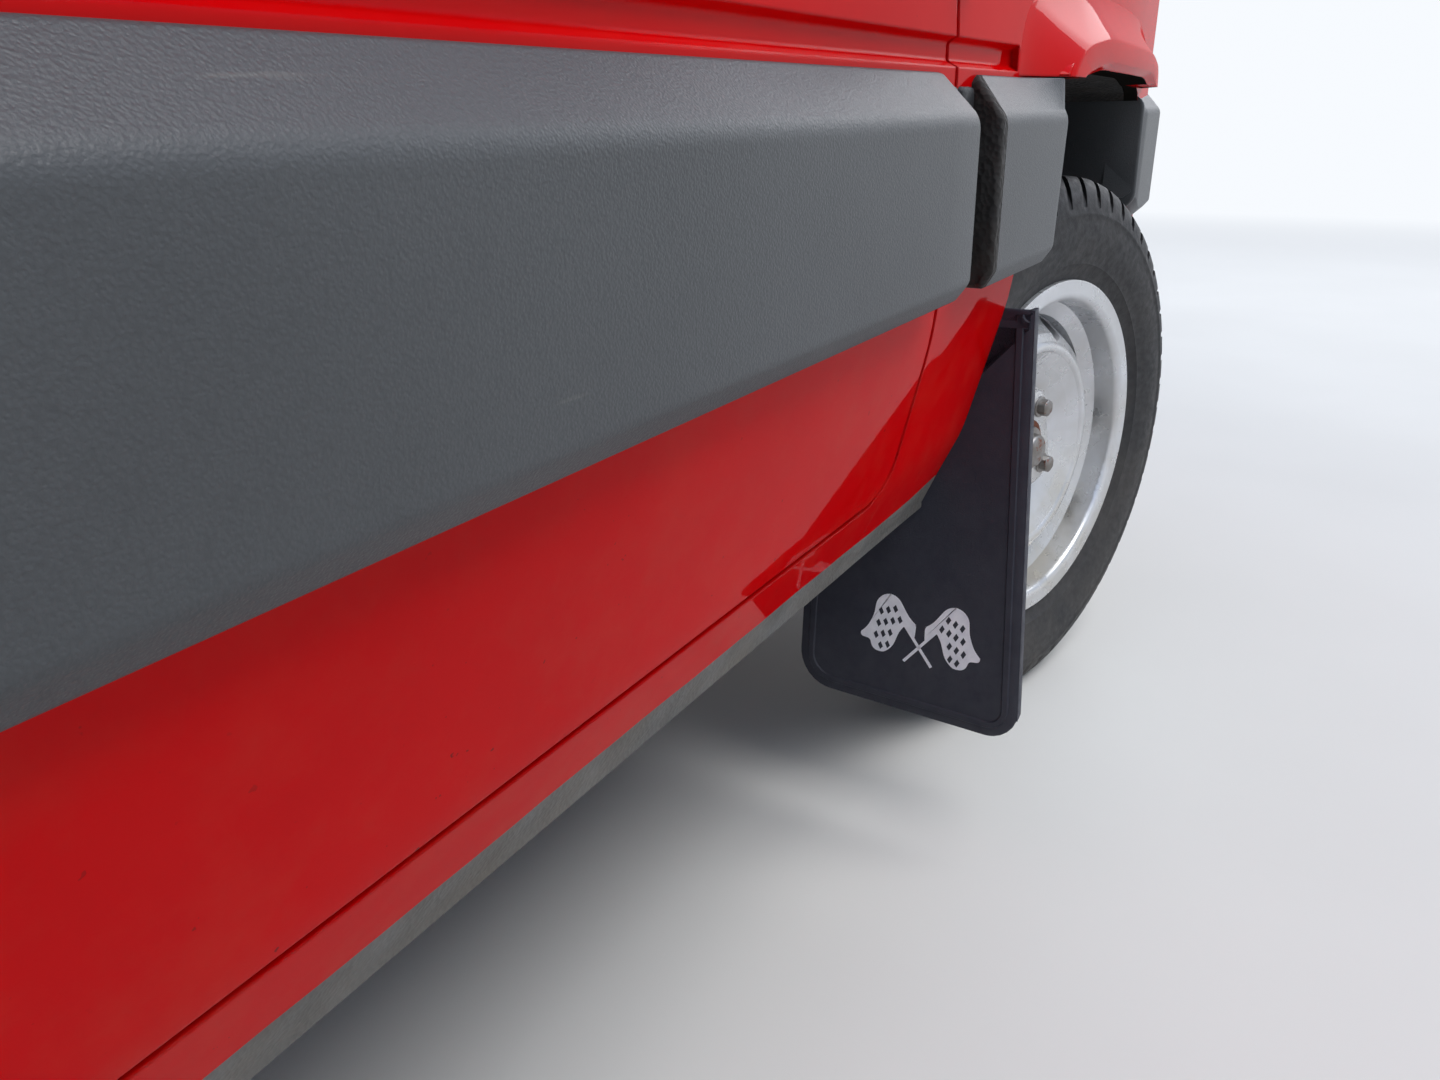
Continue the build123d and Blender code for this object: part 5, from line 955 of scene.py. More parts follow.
corners = {
    "front_right": (frontAxleX, -1), "front_left": (frontAxleX, 1), "rear_right": (rearAxleX, -1),
    "rear_left": (rearAxleX, 1),
}
for name, (axleX, side) in corners.items():
    turn = (lambda s: steered(s, side)) if axleX > 0 else (lambda s: s)
    body = f"wheel_{name}"
    makePiece(
        f"tyre_{name}_treaded", turn([tyreShell(axleX, side)]), tyreRubber, body, "tyre_rubber",
        [f"tyre_{name}"], sharp=50,
    )
    makePiece(f"rimRings_{name}", turn(rimShells(axleX, side)), wheelSilver, body, "wheel_silver", sharp=50)
    makePiece(
        f"hubNuts_{name}", turn(hubShells(axleX, side)), [hubIron, rustIron, wheelSilver], body, "hub_iron",
        sharp=40,
    )
    makePiece(f"valve_{name}", turn([valveShell(axleX, side)]), blackPlastic, body, "wheel_silver", sharp=45)
print("wheels made")


# Flares, arch lips and dark strips that paint the shade in the gap between the bands

flare = {
    "width": 57.0, "proud": 22.5, "face": 19.0, "drop": 5.0, "bevel": 8.0, "tuck": 15.0, "bend": 46.0,
    "footZ": 648.0, "count": 90,
}


def archCurve(axleX, grow, bend):
    # The arch opening grown outwards in the side view, above the bands, at even steps from rear to front.
    half = [
        (arch["footHalf"] + grow, arch["footZ"], 0),
        (arch["shoulderHalf"] + grow, arch["shoulderZ"] + grow, bend),
        (arch["crownHalf"], arch["topZ"] + grow, arch["crownR"]),
    ]
    rows = [(-x, z, r) for x, z, r in half] + half[::-1]
    line = densified(roundedOutline(rows, 14), 5)
    line = line[line[:, 1] > flare["footZ"]]
    line[[0, -1], 1] = flare["footZ"]
    reach = np.concatenate([[0], np.cumsum(np.linalg.norm(np.diff(line, axis=0), axis=1))])
    even = np.linspace(0, reach[-1], flare["count"])
    return np.column_stack([np.interp(even, reach, line[:, 0]) + axleX, np.interp(even, reach, line[:, 1])])


def flareShell(axleX):
    # Rows run between the arch's edge and a wider curve. Height over the skin: a bevel below the edge, an
    # upright face, then a slope that falls with the power 1.6 to the skin; the inner side is tucked in.
    inner, outer = archCurve(axleX, 0, 25), archCurve(axleX, flare["width"], flare["bend"])
    p, face = flare["proud"], flare["face"]
    slope = [(face + (flare["width"] - face) * u, (p - 0.8) * (1 - u) ** 1.6) for u in np.linspace(1, 0, 12)]
    section = np.array(
        slope
        + [
            (face - 1.0, p - 0.2), (face - 2.5, p), (1.0, p), (0, p - 0.6),
            (-flare["drop"] + 0.5, p - flare["bevel"] + 0.5), (-flare["drop"], p - flare["bevel"]),
            (-flare["drop"], -flare["tuck"]), (3, -flare["tuck"]),
        ]
    )
    share, height = section[:, 0] / flare["width"], section[:, 1]
    at = inner[:, None] + (outer - inner)[:, None] * share[:, None]
    y = skinY(np.clip(at[..., 0], -1500, 1500), at[..., 1]) + height - 0.3
    return closedSkin(pointsOf(at[..., 0], y, np.maximum(at[..., 1], flare["footZ"])))


def archLipShell(axleX, way):
    # A dark strip over the cut edge of the arch, following its slanted side from the band down to the sill.
    z = np.linspace(345 if way > 0 or axleX < 0 else 330, 636, 24)
    x = archEdgeX(axleX, z, way) - way * 0.4
    y = skinY(x, z) - 1.5
    deep = np.array([0, 0, 14, 14.0]) if axleX > 0 else np.array([0, 0, 52, 52.0])
    off = np.array([0.4, -1.4, -1.4, 0.4]) * way
    grid = pointsOf(x[:, None] + off, y[:, None] - deep, z[:, None])
    return closedSkin(grid)


def stepShell():
    # A thin strip under the door's foot, along the skin.
    x = np.linspace(-398, 592, 40)
    strip = np.array([(-4.0, 373.2), (-4.0, 377.4), (-7.0, 377.4), (-7.0, 373.2)])
    return closedSkin(pointsOf(x[:, None], skinY(x[:, None], 375.0) + strip[:, 0], strip[:, 1]))


makePair("frontFlare", [flareShell(frontAxleX)], red, slot="red_paint", sharp=32)
makePair("rearFlare", [flareShell(rearAxleX)], red, slot="red_paint", sharp=32)
lips = [archLipShell(frontAxleX, 1), archLipShell(rearAxleX, -1), archLipShell(rearAxleX, 1)]
makePair("archLips", lips, underseal, slot="black_steel", sharp=60)
# Dark strips behind the gaps between the bands, on the body and on the door: painted shade where the recess
# lies in shadow.
makePair("bandGapShade", [roundedBox((602.5, 715, 524), (626, 729.5, 640), 3, "y")], blackPlastic)
makePair(
    "doorBandBacking", [roundedBox((574, 715, 524), (596, 729.5, 640), 3, "y")], blackPlastic, "door_SIDE",
)
makePair("sillStep", [stepShell()], red, slot="red_paint", sharp=60)
print("flares made")


# Bumpers

bumper = {
    "section": [(0, 503, 6), (0, 622, 14), (22, 646, 5), (34, 646, 2), (34, 492, 2), (9, 492, 7)],
    "front": {"way": 1, "plan": (1653, 650), "side": 11.0, "nose": 37.0, "end": 1403.0},
    "rear": {"way": -1, "plan": (-1632, 690), "side": 16.0, "nose": 58.0, "end": -1393.0}, "foot": 492,
    "waist": 560, "middle": 569, "halfHeight": 70, "endRound": 7, "endRise": 26, "riseLength": 60,
    "corner": 95,
}


def bumperShell(which):
    # The section carried round the nose or the tail, along the body's plan moved outwards. At each end the
    # foot rises in a line, and the section shrinks on a quarter circle.
    shape = bumper[which]
    way, end = shape["way"], shape["end"]
    tip = shape["plan"][0] + way * shape["nose"]
    sideY = skinY(end, 600) + shape["side"]
    cornerY = shape["plan"][1] + shape["side"] + 6
    rows = [
        (end, -sideY, 0), (tip, -cornerY, bumper["corner"]), (tip, cornerY, bumper["corner"]),
        (end, sideY, 0),
    ]
    line = densified(roundedOutline(rows, 14), 22)
    line = line[((line[:, 0] - end) * way > 1e-6) | (np.abs(np.abs(line[:, 1]) - sideY) < 1e-3)]
    line = line[np.argsort(np.arctan2(line[:, 1], (line[:, 0] - end) * way + 60))]
    along = np.gradient(line, axis=0)
    along /= np.linalg.norm(along, axis=1, keepdims=True)
    inwards = np.stack([-along[:, 1], along[:, 0]], -1) * way
    section = roundedOutline(bumper["section"], 6)
    depth, z = section[:, 0], section[:, 1]
    reach = np.concatenate([[0], np.cumsum(np.linalg.norm(np.diff(line, axis=0), axis=1))])
    near = np.minimum(reach, reach[-1] - reach)
    fade = np.sqrt(np.clip(1 - np.clip(1 - near / bumper["endRound"], 0, 1) ** 2, 0, 1))
    shrink = (1 - fade)[:, None] * bumper["endRound"]
    low, waist, middle = bumper["foot"], bumper["waist"], bumper["middle"]
    foot = low + bumper["endRise"] * np.clip(1 - near / bumper["riseLength"], 0, 1)[:, None]
    level = np.where(
        z[None, :] < waist, foot + (z[None, :] - low) * (waist - foot) / (waist - low), z[None, :],
    )
    level = level - np.sign(level - middle) * np.clip(
        np.abs(level - middle) / bumper["halfHeight"], 0, 1,
    ) ** 3 * shrink
    x = line[:, :1] + inwards[:, :1] * (depth[None, :] + shrink)
    y = line[:, 1:] + inwards[:, 1:] * (depth[None, :] + shrink)
    return closedSkin(pointsOf(x, y, level))


def bumperEnd(which):
    # The dark returned flange at the wheel arch, with rounded corners.
    way = bumper[which]["way"]
    axleX = frontAxleX if way > 0 else rearAxleX
    outer = skinY(bumper[which]["end"], 600) + 10
    outline = densified(
        roundedOutline(
            [(outer - 100, 505, 12), (outer, 505, 22), (outer, 640, 16), (outer - 100, 640, 12)], 6,
        ),
        10,
    )
    face = plate(outline, [(0, 5.0), (1.2, 6.5), (3.0, 7.0)], 0.0)
    y, z, h = face[0].T
    x = archEdgeX(axleX, z, way) + way * (3.5 - h)
    return pointsOf(x, y, z), face[1], 0


for which in ("front", "rear"):
    makePiece(
        f"{which}BumperSkin", [bumperShell(which)], greyPlastic, "shell", "grey_plastic", [f"{which}_bumper"],
        sharp=50,
    )
    flange = bumperEnd(which)
    makePiece(f"{which}BumperFlanges", [flange, flipped(flange)], greyPlastic, sharp=40)
print("bumpers made")


# Lamps, grille and plates

lamp = {"y": (417, 598), "z": (652, 733), "flutes": 16, "reflectorDepth": 34}


def lensShell(yr, zr, frontX, crown, flutes, wall=3.0):
    # A lens over a rectangle: the face bulges with (1 - u^4)(1 - v^4) and carries upright flutes.
    u, v = np.meshgrid(np.linspace(-1, 1, 57), np.linspace(-1, 1, 25), indexing="ij")
    y = (yr[0] + yr[1]) / 2 + u * (yr[1] - yr[0]) / 2
    z = (zr[0] + zr[1]) / 2 + v * (zr[1] - zr[0]) / 2
    bulge = crown * (1 - u**4) * (1 - v**4)
    ribs = 0.5 * np.abs(np.sin(u * math.pi * flutes / 2)) * (1 - v**8)
    face = pointsOf(frontX + (bulge + ribs), y, z)
    back = pointsOf(frontX - wall + bulge * 0.8, y, z)[:, ::-1]
    return closedSkin(np.concatenate([face, back], 1))


def reflectorShell():
    # A bowl: depth falls with (1 - u^2)(1 - v^2) from the rim to the bulb.
    u, v = np.meshgrid(np.linspace(-1, 1, 33), np.linspace(-1, 1, 21), indexing="ij")
    y = sum(lamp["y"]) / 2 + u * 88
    z = sum(lamp["z"]) / 2 + v * 39
    x = 1633 - lamp["reflectorDepth"] * (1 - u**2) ** 0.7 * (1 - v**2) ** 0.6
    face = pointsOf(x, y, z)
    back = pointsOf(1596, y, z)[:, ::-1]
    return closedSkin(np.concatenate([face, back], 1))


bulb = turned([(0, 26), (6, 24), (9, 17), (9, 8), (7, 3), (7, -6), (0, -6)], 20, 1)
bulb = placed(bulb, (1608, sum(lamp["y"]) / 2, sum(lamp["z"]) / 2), -math.pi / 2, "Z")
makePair(
    "headlampLens", [lensShell(lamp["y"], lamp["z"], 1639.5, 4.5, lamp["flutes"])], lampGlass,
    slot="lamp_glass", replaces=["headlamps"], sharp=50,
)
makePair(
    "headlampReflector", [reflectorShell(), bulb], [brightMetal, whitePaint], slot="lamp_glass", sharp=50,
)
outline = densified(roundedOutline(rectangle(507.5, 692.5, 95.5, 44.5, 12), 6), 12)
rim = []
for inset, x in ((0, 1640.5), (0, 1643.0), (1.2, 1644.2), (5.0, 1644.2), (6.2, 1643), (6.2, 1634)):
    flat = inward(outline, inset) if inset else outline
    rim.append(np.column_stack([np.full(len(flat), x), flat]))
makePair("headlampRim", [surface(np.stack(rim), closeRows=True, closeCols=True)], blackPlastic, sharp=50)
indicator = lensShell((470, 570), (560, 598), 1687.0, 1.6, 12, 8)
makePair("indicator", [indicator], amberLens, slot="red_lens", sharp=50)
repeater = turned([(0, 0), (13, 0), (13, 3), (9, 8), (0, 9.5)], 28, place=(690, skinY(690, 790) - 1, 790))
makePair("repeater", [repeater], amberLens, slot="red_lens", sharp=50)

slats = [roundedBox((1618, -372, 653 + 24.3 * i), (1632, 372, 656.5 + 24.3 * i), 1.5, "y") for i in range(4)]
slats += [roundedBox((1596, -374, 650), (1600, 374, 735), 2, "y")]
slats += [
    roundedBox((1600, y - 1.5, 651), (1630, y + 1.5, 734), 1.2, "z") for y in np.linspace(-350, 350, 15)
]
makePiece("grilleMesh", slats, blackPlastic)


def blankPlate(centreX, centreZ, half, way, tilt=0.0):
    # A blank embossed plate: its rings step up to a raised edge and down to the flat field.
    outline = densified(roundedOutline(rectangle(0, 0, *half, 6), 6), 12)
    face = plate(outline, [(0, 1.2), (0.8, 1.8), (2.4, 1.8), (3.4, 1.2)], 0.0)
    y, z, h = face[0].T
    return pointsOf(centreX + way * h + z * tilt, y, centreZ + z), face[1], 0


makePiece("frontPlate", [blankPlate(1687.2, 566, (180, 36), 1)], whitePaint, sharp=30)
makePiece("rearPlate", [blankPlate(-1630.6, 745, (175, 56), -1, 0.02)], whitePaint, "tailgate", sharp=30)
print("lamps made")


# Mirrors, handles, seals, wipers and gutters

mirror = {
    "centre": (807, 985), "half": (75, 55), "corners": (20, 24, 24, 20), "glass": 0.9, "glassX": (501.2, 503),
    "layers": [
        (502, 0.86), (500.2, 0.9), (499.6, 0.93), (500.0, 0.965), (501.6, 0.99), (505, 1.0), (518, 1.0),
        (528, 0.97), (536, 0.9), (541, 0.8), (543.8, 0.66), (544.4, 0.5),
    ],
}


def mirrorShells():
    # A rounded shell whose section shrinks towards the front, step by step, with a sunk glass at the rear.
    middle = np.array(mirror["centre"], float)
    outline = densified(
        roundedOutline(rectangle(*mirror["centre"], *mirror["half"], mirror["corners"]), 8), 12,
    )

    def stacked(steps, finish):
        flats = [(x, middle + (outline - middle) * share) for x, share in steps]
        return closedSkin(
            np.stack([np.column_stack([np.full(len(flat), x), flat]) for x, flat in flats]), finish,
        )

    shell = stacked(mirror["layers"], 0)
    glass = stacked([(x, mirror["glass"]) for x in mirror["glassX"]], 1)
    arm = smoothPath([(522, 706, 940), (522, 724, 941), (522, 742, 946), (522, 760, 956)], 16)
    return [
        shell, glass, tube(arm, np.linspace(15, 12, 16), 20),
        roundedBox((500, 705, 926), (546, 715.5, 958), 8, "y"),
    ]


def handleShells():
    # A pull handle bridging a shallow dish, with a key barrel behind it.
    y = 718.5
    path = smoothPath(
        [
            (-330, y, 800), (-322, y + 9, 800), (-300, y + 15.5, 800), (-258, y + 17, 800),
            (-216, y + 15.5, 800), (-194, y + 9, 800), (-186, y, 800),
        ],
        40,
    )
    grip = squeezed(tube(path, 1.0, 18), path, [5.5, 5.5, 12])
    plateShell = plate(
        densified(roundedOutline(rectangle(-258, 800, 76, 18, 14), 8), 9),
        [(0, 2.0), (1.5, 3.2), (4, 3.4), (6, 2.2)], 0.0,
    )
    x, z, h = plateShell[0].T
    base = (pointsOf(x, skinY(x, z) + h - 0.8, z), plateShell[1], 0)
    key = turned(
        [(0, 0), (8, 0), (8, 3), (6.5, 4.4), (0, 4.6)], 28, 1, place=(-160, skinY(-160, 800) - 0.5, 800),
    )
    return [grip, base, key]


def sealAlong(outline):
    # A rubber strip round a side window: a flattened tube along the outline, laid on the skin.
    line = densified(outline, 14)
    path = pointsOf(line[:, 0], skinY(line[:, 0], line[:, 1]) - 1.0, line[:, 1])
    return squeezed(tube(path, 1.0, 10, closed=True), path, [5.0, 2.75, 5.0])


def screenPath(corners, foot, head, inset, radius=40):
    # A rounded outline given as (half width, height), laid on a sloping pane and moved in by inset.
    line = densified(roundedOutline([(y, z, radius) for y, z in corners], 8), 20)
    x = foot[0] + (head[0] - foot[0]) * (line[:, 1] - foot[1]) / (head[1] - foot[1]) + inset
    return pointsOf(x, line[:, 0], line[:, 1])


quarterWindow = [(-1332, 942, 25), (-478, 942, 25), (-478, 1322, 25), (-1267, 1322, 25)]
makePair("mirror", mirrorShells(), [blackPlastic, brightMetal], "door_SIDE", sharp=50)
makePair("doorHandle", handleShells(), [blackPlastic, brightMetal], "door_SIDE", sharp=50)
makePair("quarterSeal", [sealAlong(roundedOutline(quarterWindow, 6))], blackPlastic, sharp=60)
gutterX = np.linspace(-1400, 330, 60)
gutter = pointsOf(gutterX, skinY(gutterX, 1378.0) + 0.5, 1378.0)
makePair("roofGutter", [tube(gutter, 4.0, 10)], blackPlastic, sharp=60)

windscreen = screenPath([(-640, 932), (640, 932), (549, 1348), (-549, 1348)], (775, 905), (345, 1408), -7, 45)
rearScreen = screenPath(
    [(-533, 943), (533, 943), (461, 1336), (-461, 1336)], (-1600, 905), (-1440, 1420), 5, 36,
)
makePiece("windscreenSeal", [tube(windscreen, 8.0, closed=True)], blackPlastic, sharp=60)
makePiece("rearScreenSeal", [tube(rearScreen, 7.0, closed=True)], blackPlastic, "tailgate", sharp=60)


def wiperShells(pivot, tip, lean):
    # An arm that tapers from its pivot cap to the blade, and a blade that lies along the pane.
    pivot, tip = np.array(pivot, float), np.array(tip, float)
    arm = smoothPath(
        [pivot + [4, 0, 6], pivot * 0.6 + tip * 0.4 + np.array(lean) * 16, tip + np.array(lean) * 9], 18,
    )
    blade = np.array([tip + (tip - pivot) * s + np.array(lean) * 3.4 for s in np.linspace(-0.55, 0.32, 16)])
    cap = turned([(0, -6), (11, -6), (11, 6), (8, 10), (0, 11)], 20)
    lie = Vector((0, 1, 0)).rotation_difference(Vector(lean))
    turn = Matrix.Translation(pivot) @ lie.to_matrix().to_4x4()
    return [tube(arm, np.linspace(5.5, 3.2, 18), 10), tube(blade, 3.4, 8), moved(cap, turn)]


paneUp, rearUp = (0.76, 0, 0.65), (-0.95, 0, 0.3)
wipers = wiperShells((758, -430, 932), (620, -120, 1090), paneUp)
wipers += wiperShells((758, 60, 932), (620, 370, 1090), paneUp)
makePiece("wipers", wipers, blackPlastic, sharp=50)
rearWiper = wiperShells((-1597, 0, 925), (-1552, 240, 1060), rearUp)
makePiece("rearWiper", rearWiper, blackPlastic, "tailgate", sharp=50)
print("mirrors, handles and seals made")


# Seats: swollen pads with sewn channels and piping

seat = {
    "centreY": 340.0, "voxel": 0.01, "cap": 0.02, "pressure": 4.0, "frames": 20, "channelDepth": 6.0,
    "channelWidth": 7.0,
    "cushion": [
        (-232, 492, 30), (262, 508, 40), (274, 596, 36), (150, 590, 200), (-140, 566, 40), (-210, 560, 30),
    ],
    "back": [(-232, 520, 30), (-140, 585, 35), (-272, 1106, 42), (-364, 1090, 34), (-300, 700, 300)],
    "benchCushion": [(-1150, 500, 20), (-645, 500, 30), (-638, 590, 34), (-960, 580, 40), (-1150, 570, 20)],
    "benchBack": [(-1150, 590, 20), (-990, 592, 35), (-1090, 958, 40), (-1156, 948, 30)],
}


def clothFinish(name, colour, second, stripe):
    # Woven seat cloth: two thread directions, a fleck, and a lighter stripe every 60 mm across the seat.
    made, tree, shader, coords = newFinish(name, colour, 0.9, Sheen_Weight=0.35, Sheen_Roughness=0.4)
    warp = addNode(
        tree, "TexWave", {"Vector": coords, "Scale": 260.0, "Distortion": 0.6}, bands_direction="Y",
    ).outputs[1]
    weft = addNode(
        tree, "TexWave", {"Vector": coords, "Scale": 230.0, "Distortion": 0.6}, bands_direction="X",
    ).outputs[1]
    thread = plus(tree, times(tree, warp, 0.5), times(tree, weft, 0.5))
    base = mixed(tree, spread(tree, noise(tree, coords, 130, 3), 0.35, 0.65), colour, second)
    band = addNode(tree, "TexWave", {"Vector": coords, "Scale": 5.3}, bands_direction="Y").outputs[1]
    base = mixed(tree, spread(tree, band, 0.93, 0.96, 0.0, 0.7), base, stripe)
    base = mixed(tree, spread(tree, thread, 0.2, 0.8, 0.35, 0.0), base, linear(12, 12, 14))
    tree.links.new(base, shader.inputs["Base Color"])
    bump(tree, shader, thread, 0.0005)
    return made


seatCloth = clothFinish("seatCloth", linear(58, 60, 66), linear(44, 46, 52), linear(120, 54, 50))
piping = speckled("pipingVinyl", linear(26, 26, 28), linear(34, 34, 36), 0.5, 60, 500, 0.0002)


def vertexRows(mesh, what="co"):
    rows = np.empty(len(mesh.vertices) * 3)
    mesh.vertices.foreach_get(what, rows)
    return rows.reshape(-1, 3)


def swell(piece):
    # The pad is remeshed evenly, blown up as cloth, and each point's travel is capped.
    even = piece.modifiers.new("even", "REMESH")
    even.mode, even.voxel_size = "VOXEL", seat["voxel"] * 1.0
    bpy.context.view_layer.update()
    mesh = bpy.data.meshes.new_from_object(piece.evaluated_get(bpy.context.evaluated_depsgraph_get()))
    piece.modifiers.clear()
    piece.data = mesh
    rest = vertexRows(mesh)
    air = piece.modifiers.new("air", "CLOTH")
    air.settings.use_pressure = True
    air.settings.uniform_pressure_force = seat["pressure"]
    air.settings.effector_weights.gravity = 0
    air.settings.tension_stiffness = air.settings.compression_stiffness = 15
    for at in range(1, seat["frames"] + 1):
        bpy.context.scene.frame_set(at)
    blown = vertexRows(piece.evaluated_get(bpy.context.evaluated_depsgraph_get()).data)
    piece.modifiers.clear()
    bpy.context.scene.frame_set(1)
    travel = blown - rest
    far = np.linalg.norm(travel, axis=1, keepdims=True)
    travel *= np.minimum(1, seat["cap"] / np.maximum(far, 1e-9))
    mesh.vertices.foreach_set("co", (rest + travel).ravel())


def pad(name, outline, low, high, channels, cross=(), taper=None, replaces=()):
    # A pad from its side outline. Sewn channels lie at places across Y and at each (axis, place) of cross.
    # Their depth falls with exp(-(distance / width) squared) on the faces that look up or forwards.
    shell = extruded(densified(roundedOutline(outline, 8), 20), "y", low, high, 0, 38.0)
    points = shell[0]
    if taper:
        share = np.clip((points[:, 2] - taper[0]) / (taper[1] - taper[0]), 0, 1) ** 2
        middle = (low + high) / 2
        points[:, 1] = middle + (points[:, 1] - middle) * (1 - taper[2] * share)
    piece = makePiece(name, [(points, shell[1], 0)], seatCloth, "shell", "seat_fabric", replaces)
    swell(piece)
    mesh = piece.data
    at, normals = vertexRows(mesh), vertexRows(mesh, "normal")
    lines = [np.abs(at[:, 1] * 1000 - y) for y in channels] + [
        np.abs(at[:, axis] * 1000 - place) for axis, place in cross
    ]
    nearest = np.min(lines, axis=0)
    facing = np.clip(normals[:, 2] * 0.8 + normals[:, 0], 0, 1)
    depth = seat["channelDepth"] * np.exp(-((nearest / seat["channelWidth"]) ** 2)) * facing
    mesh.vertices.foreach_set("co", (at - normals * depth[:, None] * 0.001).ravel())
    mesh.shade_smooth()
    mesh.update()
    fine = piece.modifiers.new("fine", "SUBSURF")
    fine.levels = fine.render_levels = 1
    return piece


def mirrored(piece, name):
    # The same pad for the other side of the car.
    mesh = piece.data.copy()
    mesh.transform(Matrix.Diagonal((1, -1, 1, 1)))
    mesh.flip_normals()
    twin = newObject(name, mesh)
    for source in piece.modifiers:
        fine = twin.modifiers.new(source.name, source.type)
        fine.levels, fine.render_levels = source.levels, source.render_levels
    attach(twin, "shell")
    return twin


def pipingOn(piece, name, paths):
    # Piping sewn on a pad: each path's points move to the nearest point of the pad's surface.
    padTree = BVHTree.FromObject(piece, bpy.context.evaluated_depsgraph_get())
    shells = []
    for path in paths:
        found = [padTree.find_nearest(Vector(p) * 0.001)[0] for p in path]
        shells.append(tube(np.array([tuple(p) for p in found]) * 1000, 3.4, 8, closed=True))
    makePiece(name, shells, piping, "shell", "seat_fabric", sharp=60)
    makePiece(name + "_left", [flipped(s) for s in shells], piping, "shell", "seat_fabric", sharp=60)


mid = -seat["centreY"]
cushion = pad(
    "seatCushion_right", seat["cushion"], mid - 215, mid + 215, (mid - 140, mid + 140),
    ((0, 60), (0, -60), (0, 175)), replaces=["front_seats"],
)
back = pad(
    "seatBack_right", seat["back"], mid - 210, mid + 210, (mid - 125, mid + 125),
    ((2, 700), (2, 800), (2, 900)), taper=(880, 1130, 0.34),
)
mirrored(cushion, "seatCushion_left")
mirrored(back, "seatBack_left")
bpy.context.view_layer.update()
sideLine = densified(roundedOutline(seat["cushion"], 8), 14)
pipingOn(cushion, "cushionPiping", [np.insert(sideLine, 1, mid + off, axis=1) for off in (-200, 200)])
benchSplits = (-333, -167, 0, 167, 333)
pad("benchCushion", seat["benchCushion"], -488, 488, benchSplits, ((0, -760),), replaces=["rear_bench"])
pad("benchBack", seat["benchBack"], -488, 488, benchSplits, ((2, 720), (2, 850)))
frames = []
for off in (-185, 175):
    frames += [
        roundedBox((-215, mid + off - 12, 453), (262, mid + off + 12, 478)),
        roundedBox((-190, mid + off - 16, 322), (236, mid + off + 16, 340), 4),
        roundedBox((-160, mid + off - 10, 338), (-130, mid + off + 10, 456), 3, "z"),
        roundedBox((190, mid + off - 10, 338), (220, mid + off + 10, 456), 3, "z"),
    ]
    hinge = extruded(
        roundedOutline(
            [(-255, 478, 20), (-130, 470, 20), (-150, 560, 30), (-235, 640, 25), (-262, 600, 20)], 6,
        ),
        "y", mid + off * 1.2 - 5, mid + off * 1.2 + 5, 0, 1.5,
    )
    frames.append(hinge)
makePiece("seatFrames", frames + [flipped(s) for s in frames], chassisBlack, "shell", "black_steel")
print("seats made")


# Steering wheel, dashboard details, levers, door cards and mats

wheel = {"centre": (330.0, 340.0, 800.0), "radius": 172.0, "rim": 12.5, "lean": 35.0}


def wheelShells():
    # Rim, two curved spokes, a pad in the middle and the column, about an axis that leans forwards and down.
    lean = math.radians(wheel["lean"])
    turn = Matrix.Translation(wheel["centre"]) @ Matrix.Rotation(lean, 4, "Y")
    t = np.linspace(0, math.tau, 96, endpoint=False)
    ring = pointsOf(np.zeros(96), wheel["radius"] * np.cos(t), wheel["radius"] * np.sin(t))
    grip = tube(ring, wheel["rim"] + 0.7 * np.abs(np.sin(t * 20)), 16, closed=True)
    shells = [moved(grip, turn)]
    for side in (-1, 1):
        spoke = smoothPath(
            [(14, side * 20, -6), (12, side * 80, -18), (4, side * 130, -24), (0, side * 168, -26)], 20,
        )
        shells.append(moved(squeezed(tube(spoke, 1.0), spoke, [4.5, 4.5, 20]), turn))
    hub = roundedBox((-14, -58, -44), (22, 58, 34), 16)
    shells.append(moved(hub, turn))
    column = tube(np.array([(20.0, 0, 0), (120, 0, 0), (150, 0, 0)]), [30, 34, 34], 24)
    shells.append(moved(column, turn))
    for side in (-1, 1):
        stalk = smoothPath([(70, side * 20, 0), (66, side * 90, 6), (58, side * 150, 14)], 10)
        shells.append(moved(tube(stalk, np.linspace(6, 5, 10), 10), turn))
    return shells


makePiece("steeringWheelRim", wheelShells(), blackPlastic, replaces=["steering_wheel"], sharp=50)

dialFace = newFinish("dialFace", linear(12, 12, 13), 0.3)[0]
dash = [roundedBox((452, 190, 846), (560, 490, 936), 22)]
dash += [roundedBox((449.5, 205, 858), (453, 475, 924), 10, "x", 1)]
for y in (250, 345, 430):
    dash.append(placed(
        turned([(0, 0), (30, 0), (33, 3), (33, -4), (0, -4)], 36), (448.6, y, 891), math.pi / 2, "Z",
    ))
    needle = roundedBox((445.6, y - 1.2, 888), (447.2, y + 1.2, 916), 0.8, "x", 2)
    dash.append(needle)
for y in (-90, 10, 110):
    for z in range(5):
        dash.append(roundedBox((446, y - 38, 800 + z * 9), (462, y + 38, 804 + z * 9), 1.6, "y"))
dash.append(roundedBox((452, -540, 700), (520, -150, 760), 14, "y"))
dash += [roundedBox((446, y - 13, 756), (456, y + 13, 770)) for y in (-60, -25, 10, 45, 80)]
makePiece("dashDetails", dash, [blackPlastic, dialFace, whiteMark])

lever = [
    tube(smoothPath([(130, 0, 392), (150, 0, 470), (158, 4, 560), (150, 8, 612)], 20), np.linspace(8, 6, 20)),
    turned([(0, -30), (14, -26), (20, -10), (22, 6), (17, 22), (0, 27)], 28),
]
lever[1] = placed(lever[1], (150, 8, 622), math.pi / 2, "X")
rings = np.array([(62, 0), (56, 14), (60, 20), (46, 34), (50, 41), (34, 54), (38, 61), (18, 78), (0, 80)])
lever.append(placed(turned(rings, 32), (134, 0, 392), math.pi / 2, "X"))
brake = smoothPath([(-120, 0, 400), (-40, 0, 436), (40, 0, 476), (110, 0, 500)], 20)
lever.append(tube(brake, np.concatenate([np.full(12, 9.0), np.full(8, 14.0)]), 14))
makePiece("leversInCabin", lever, blackPlastic)


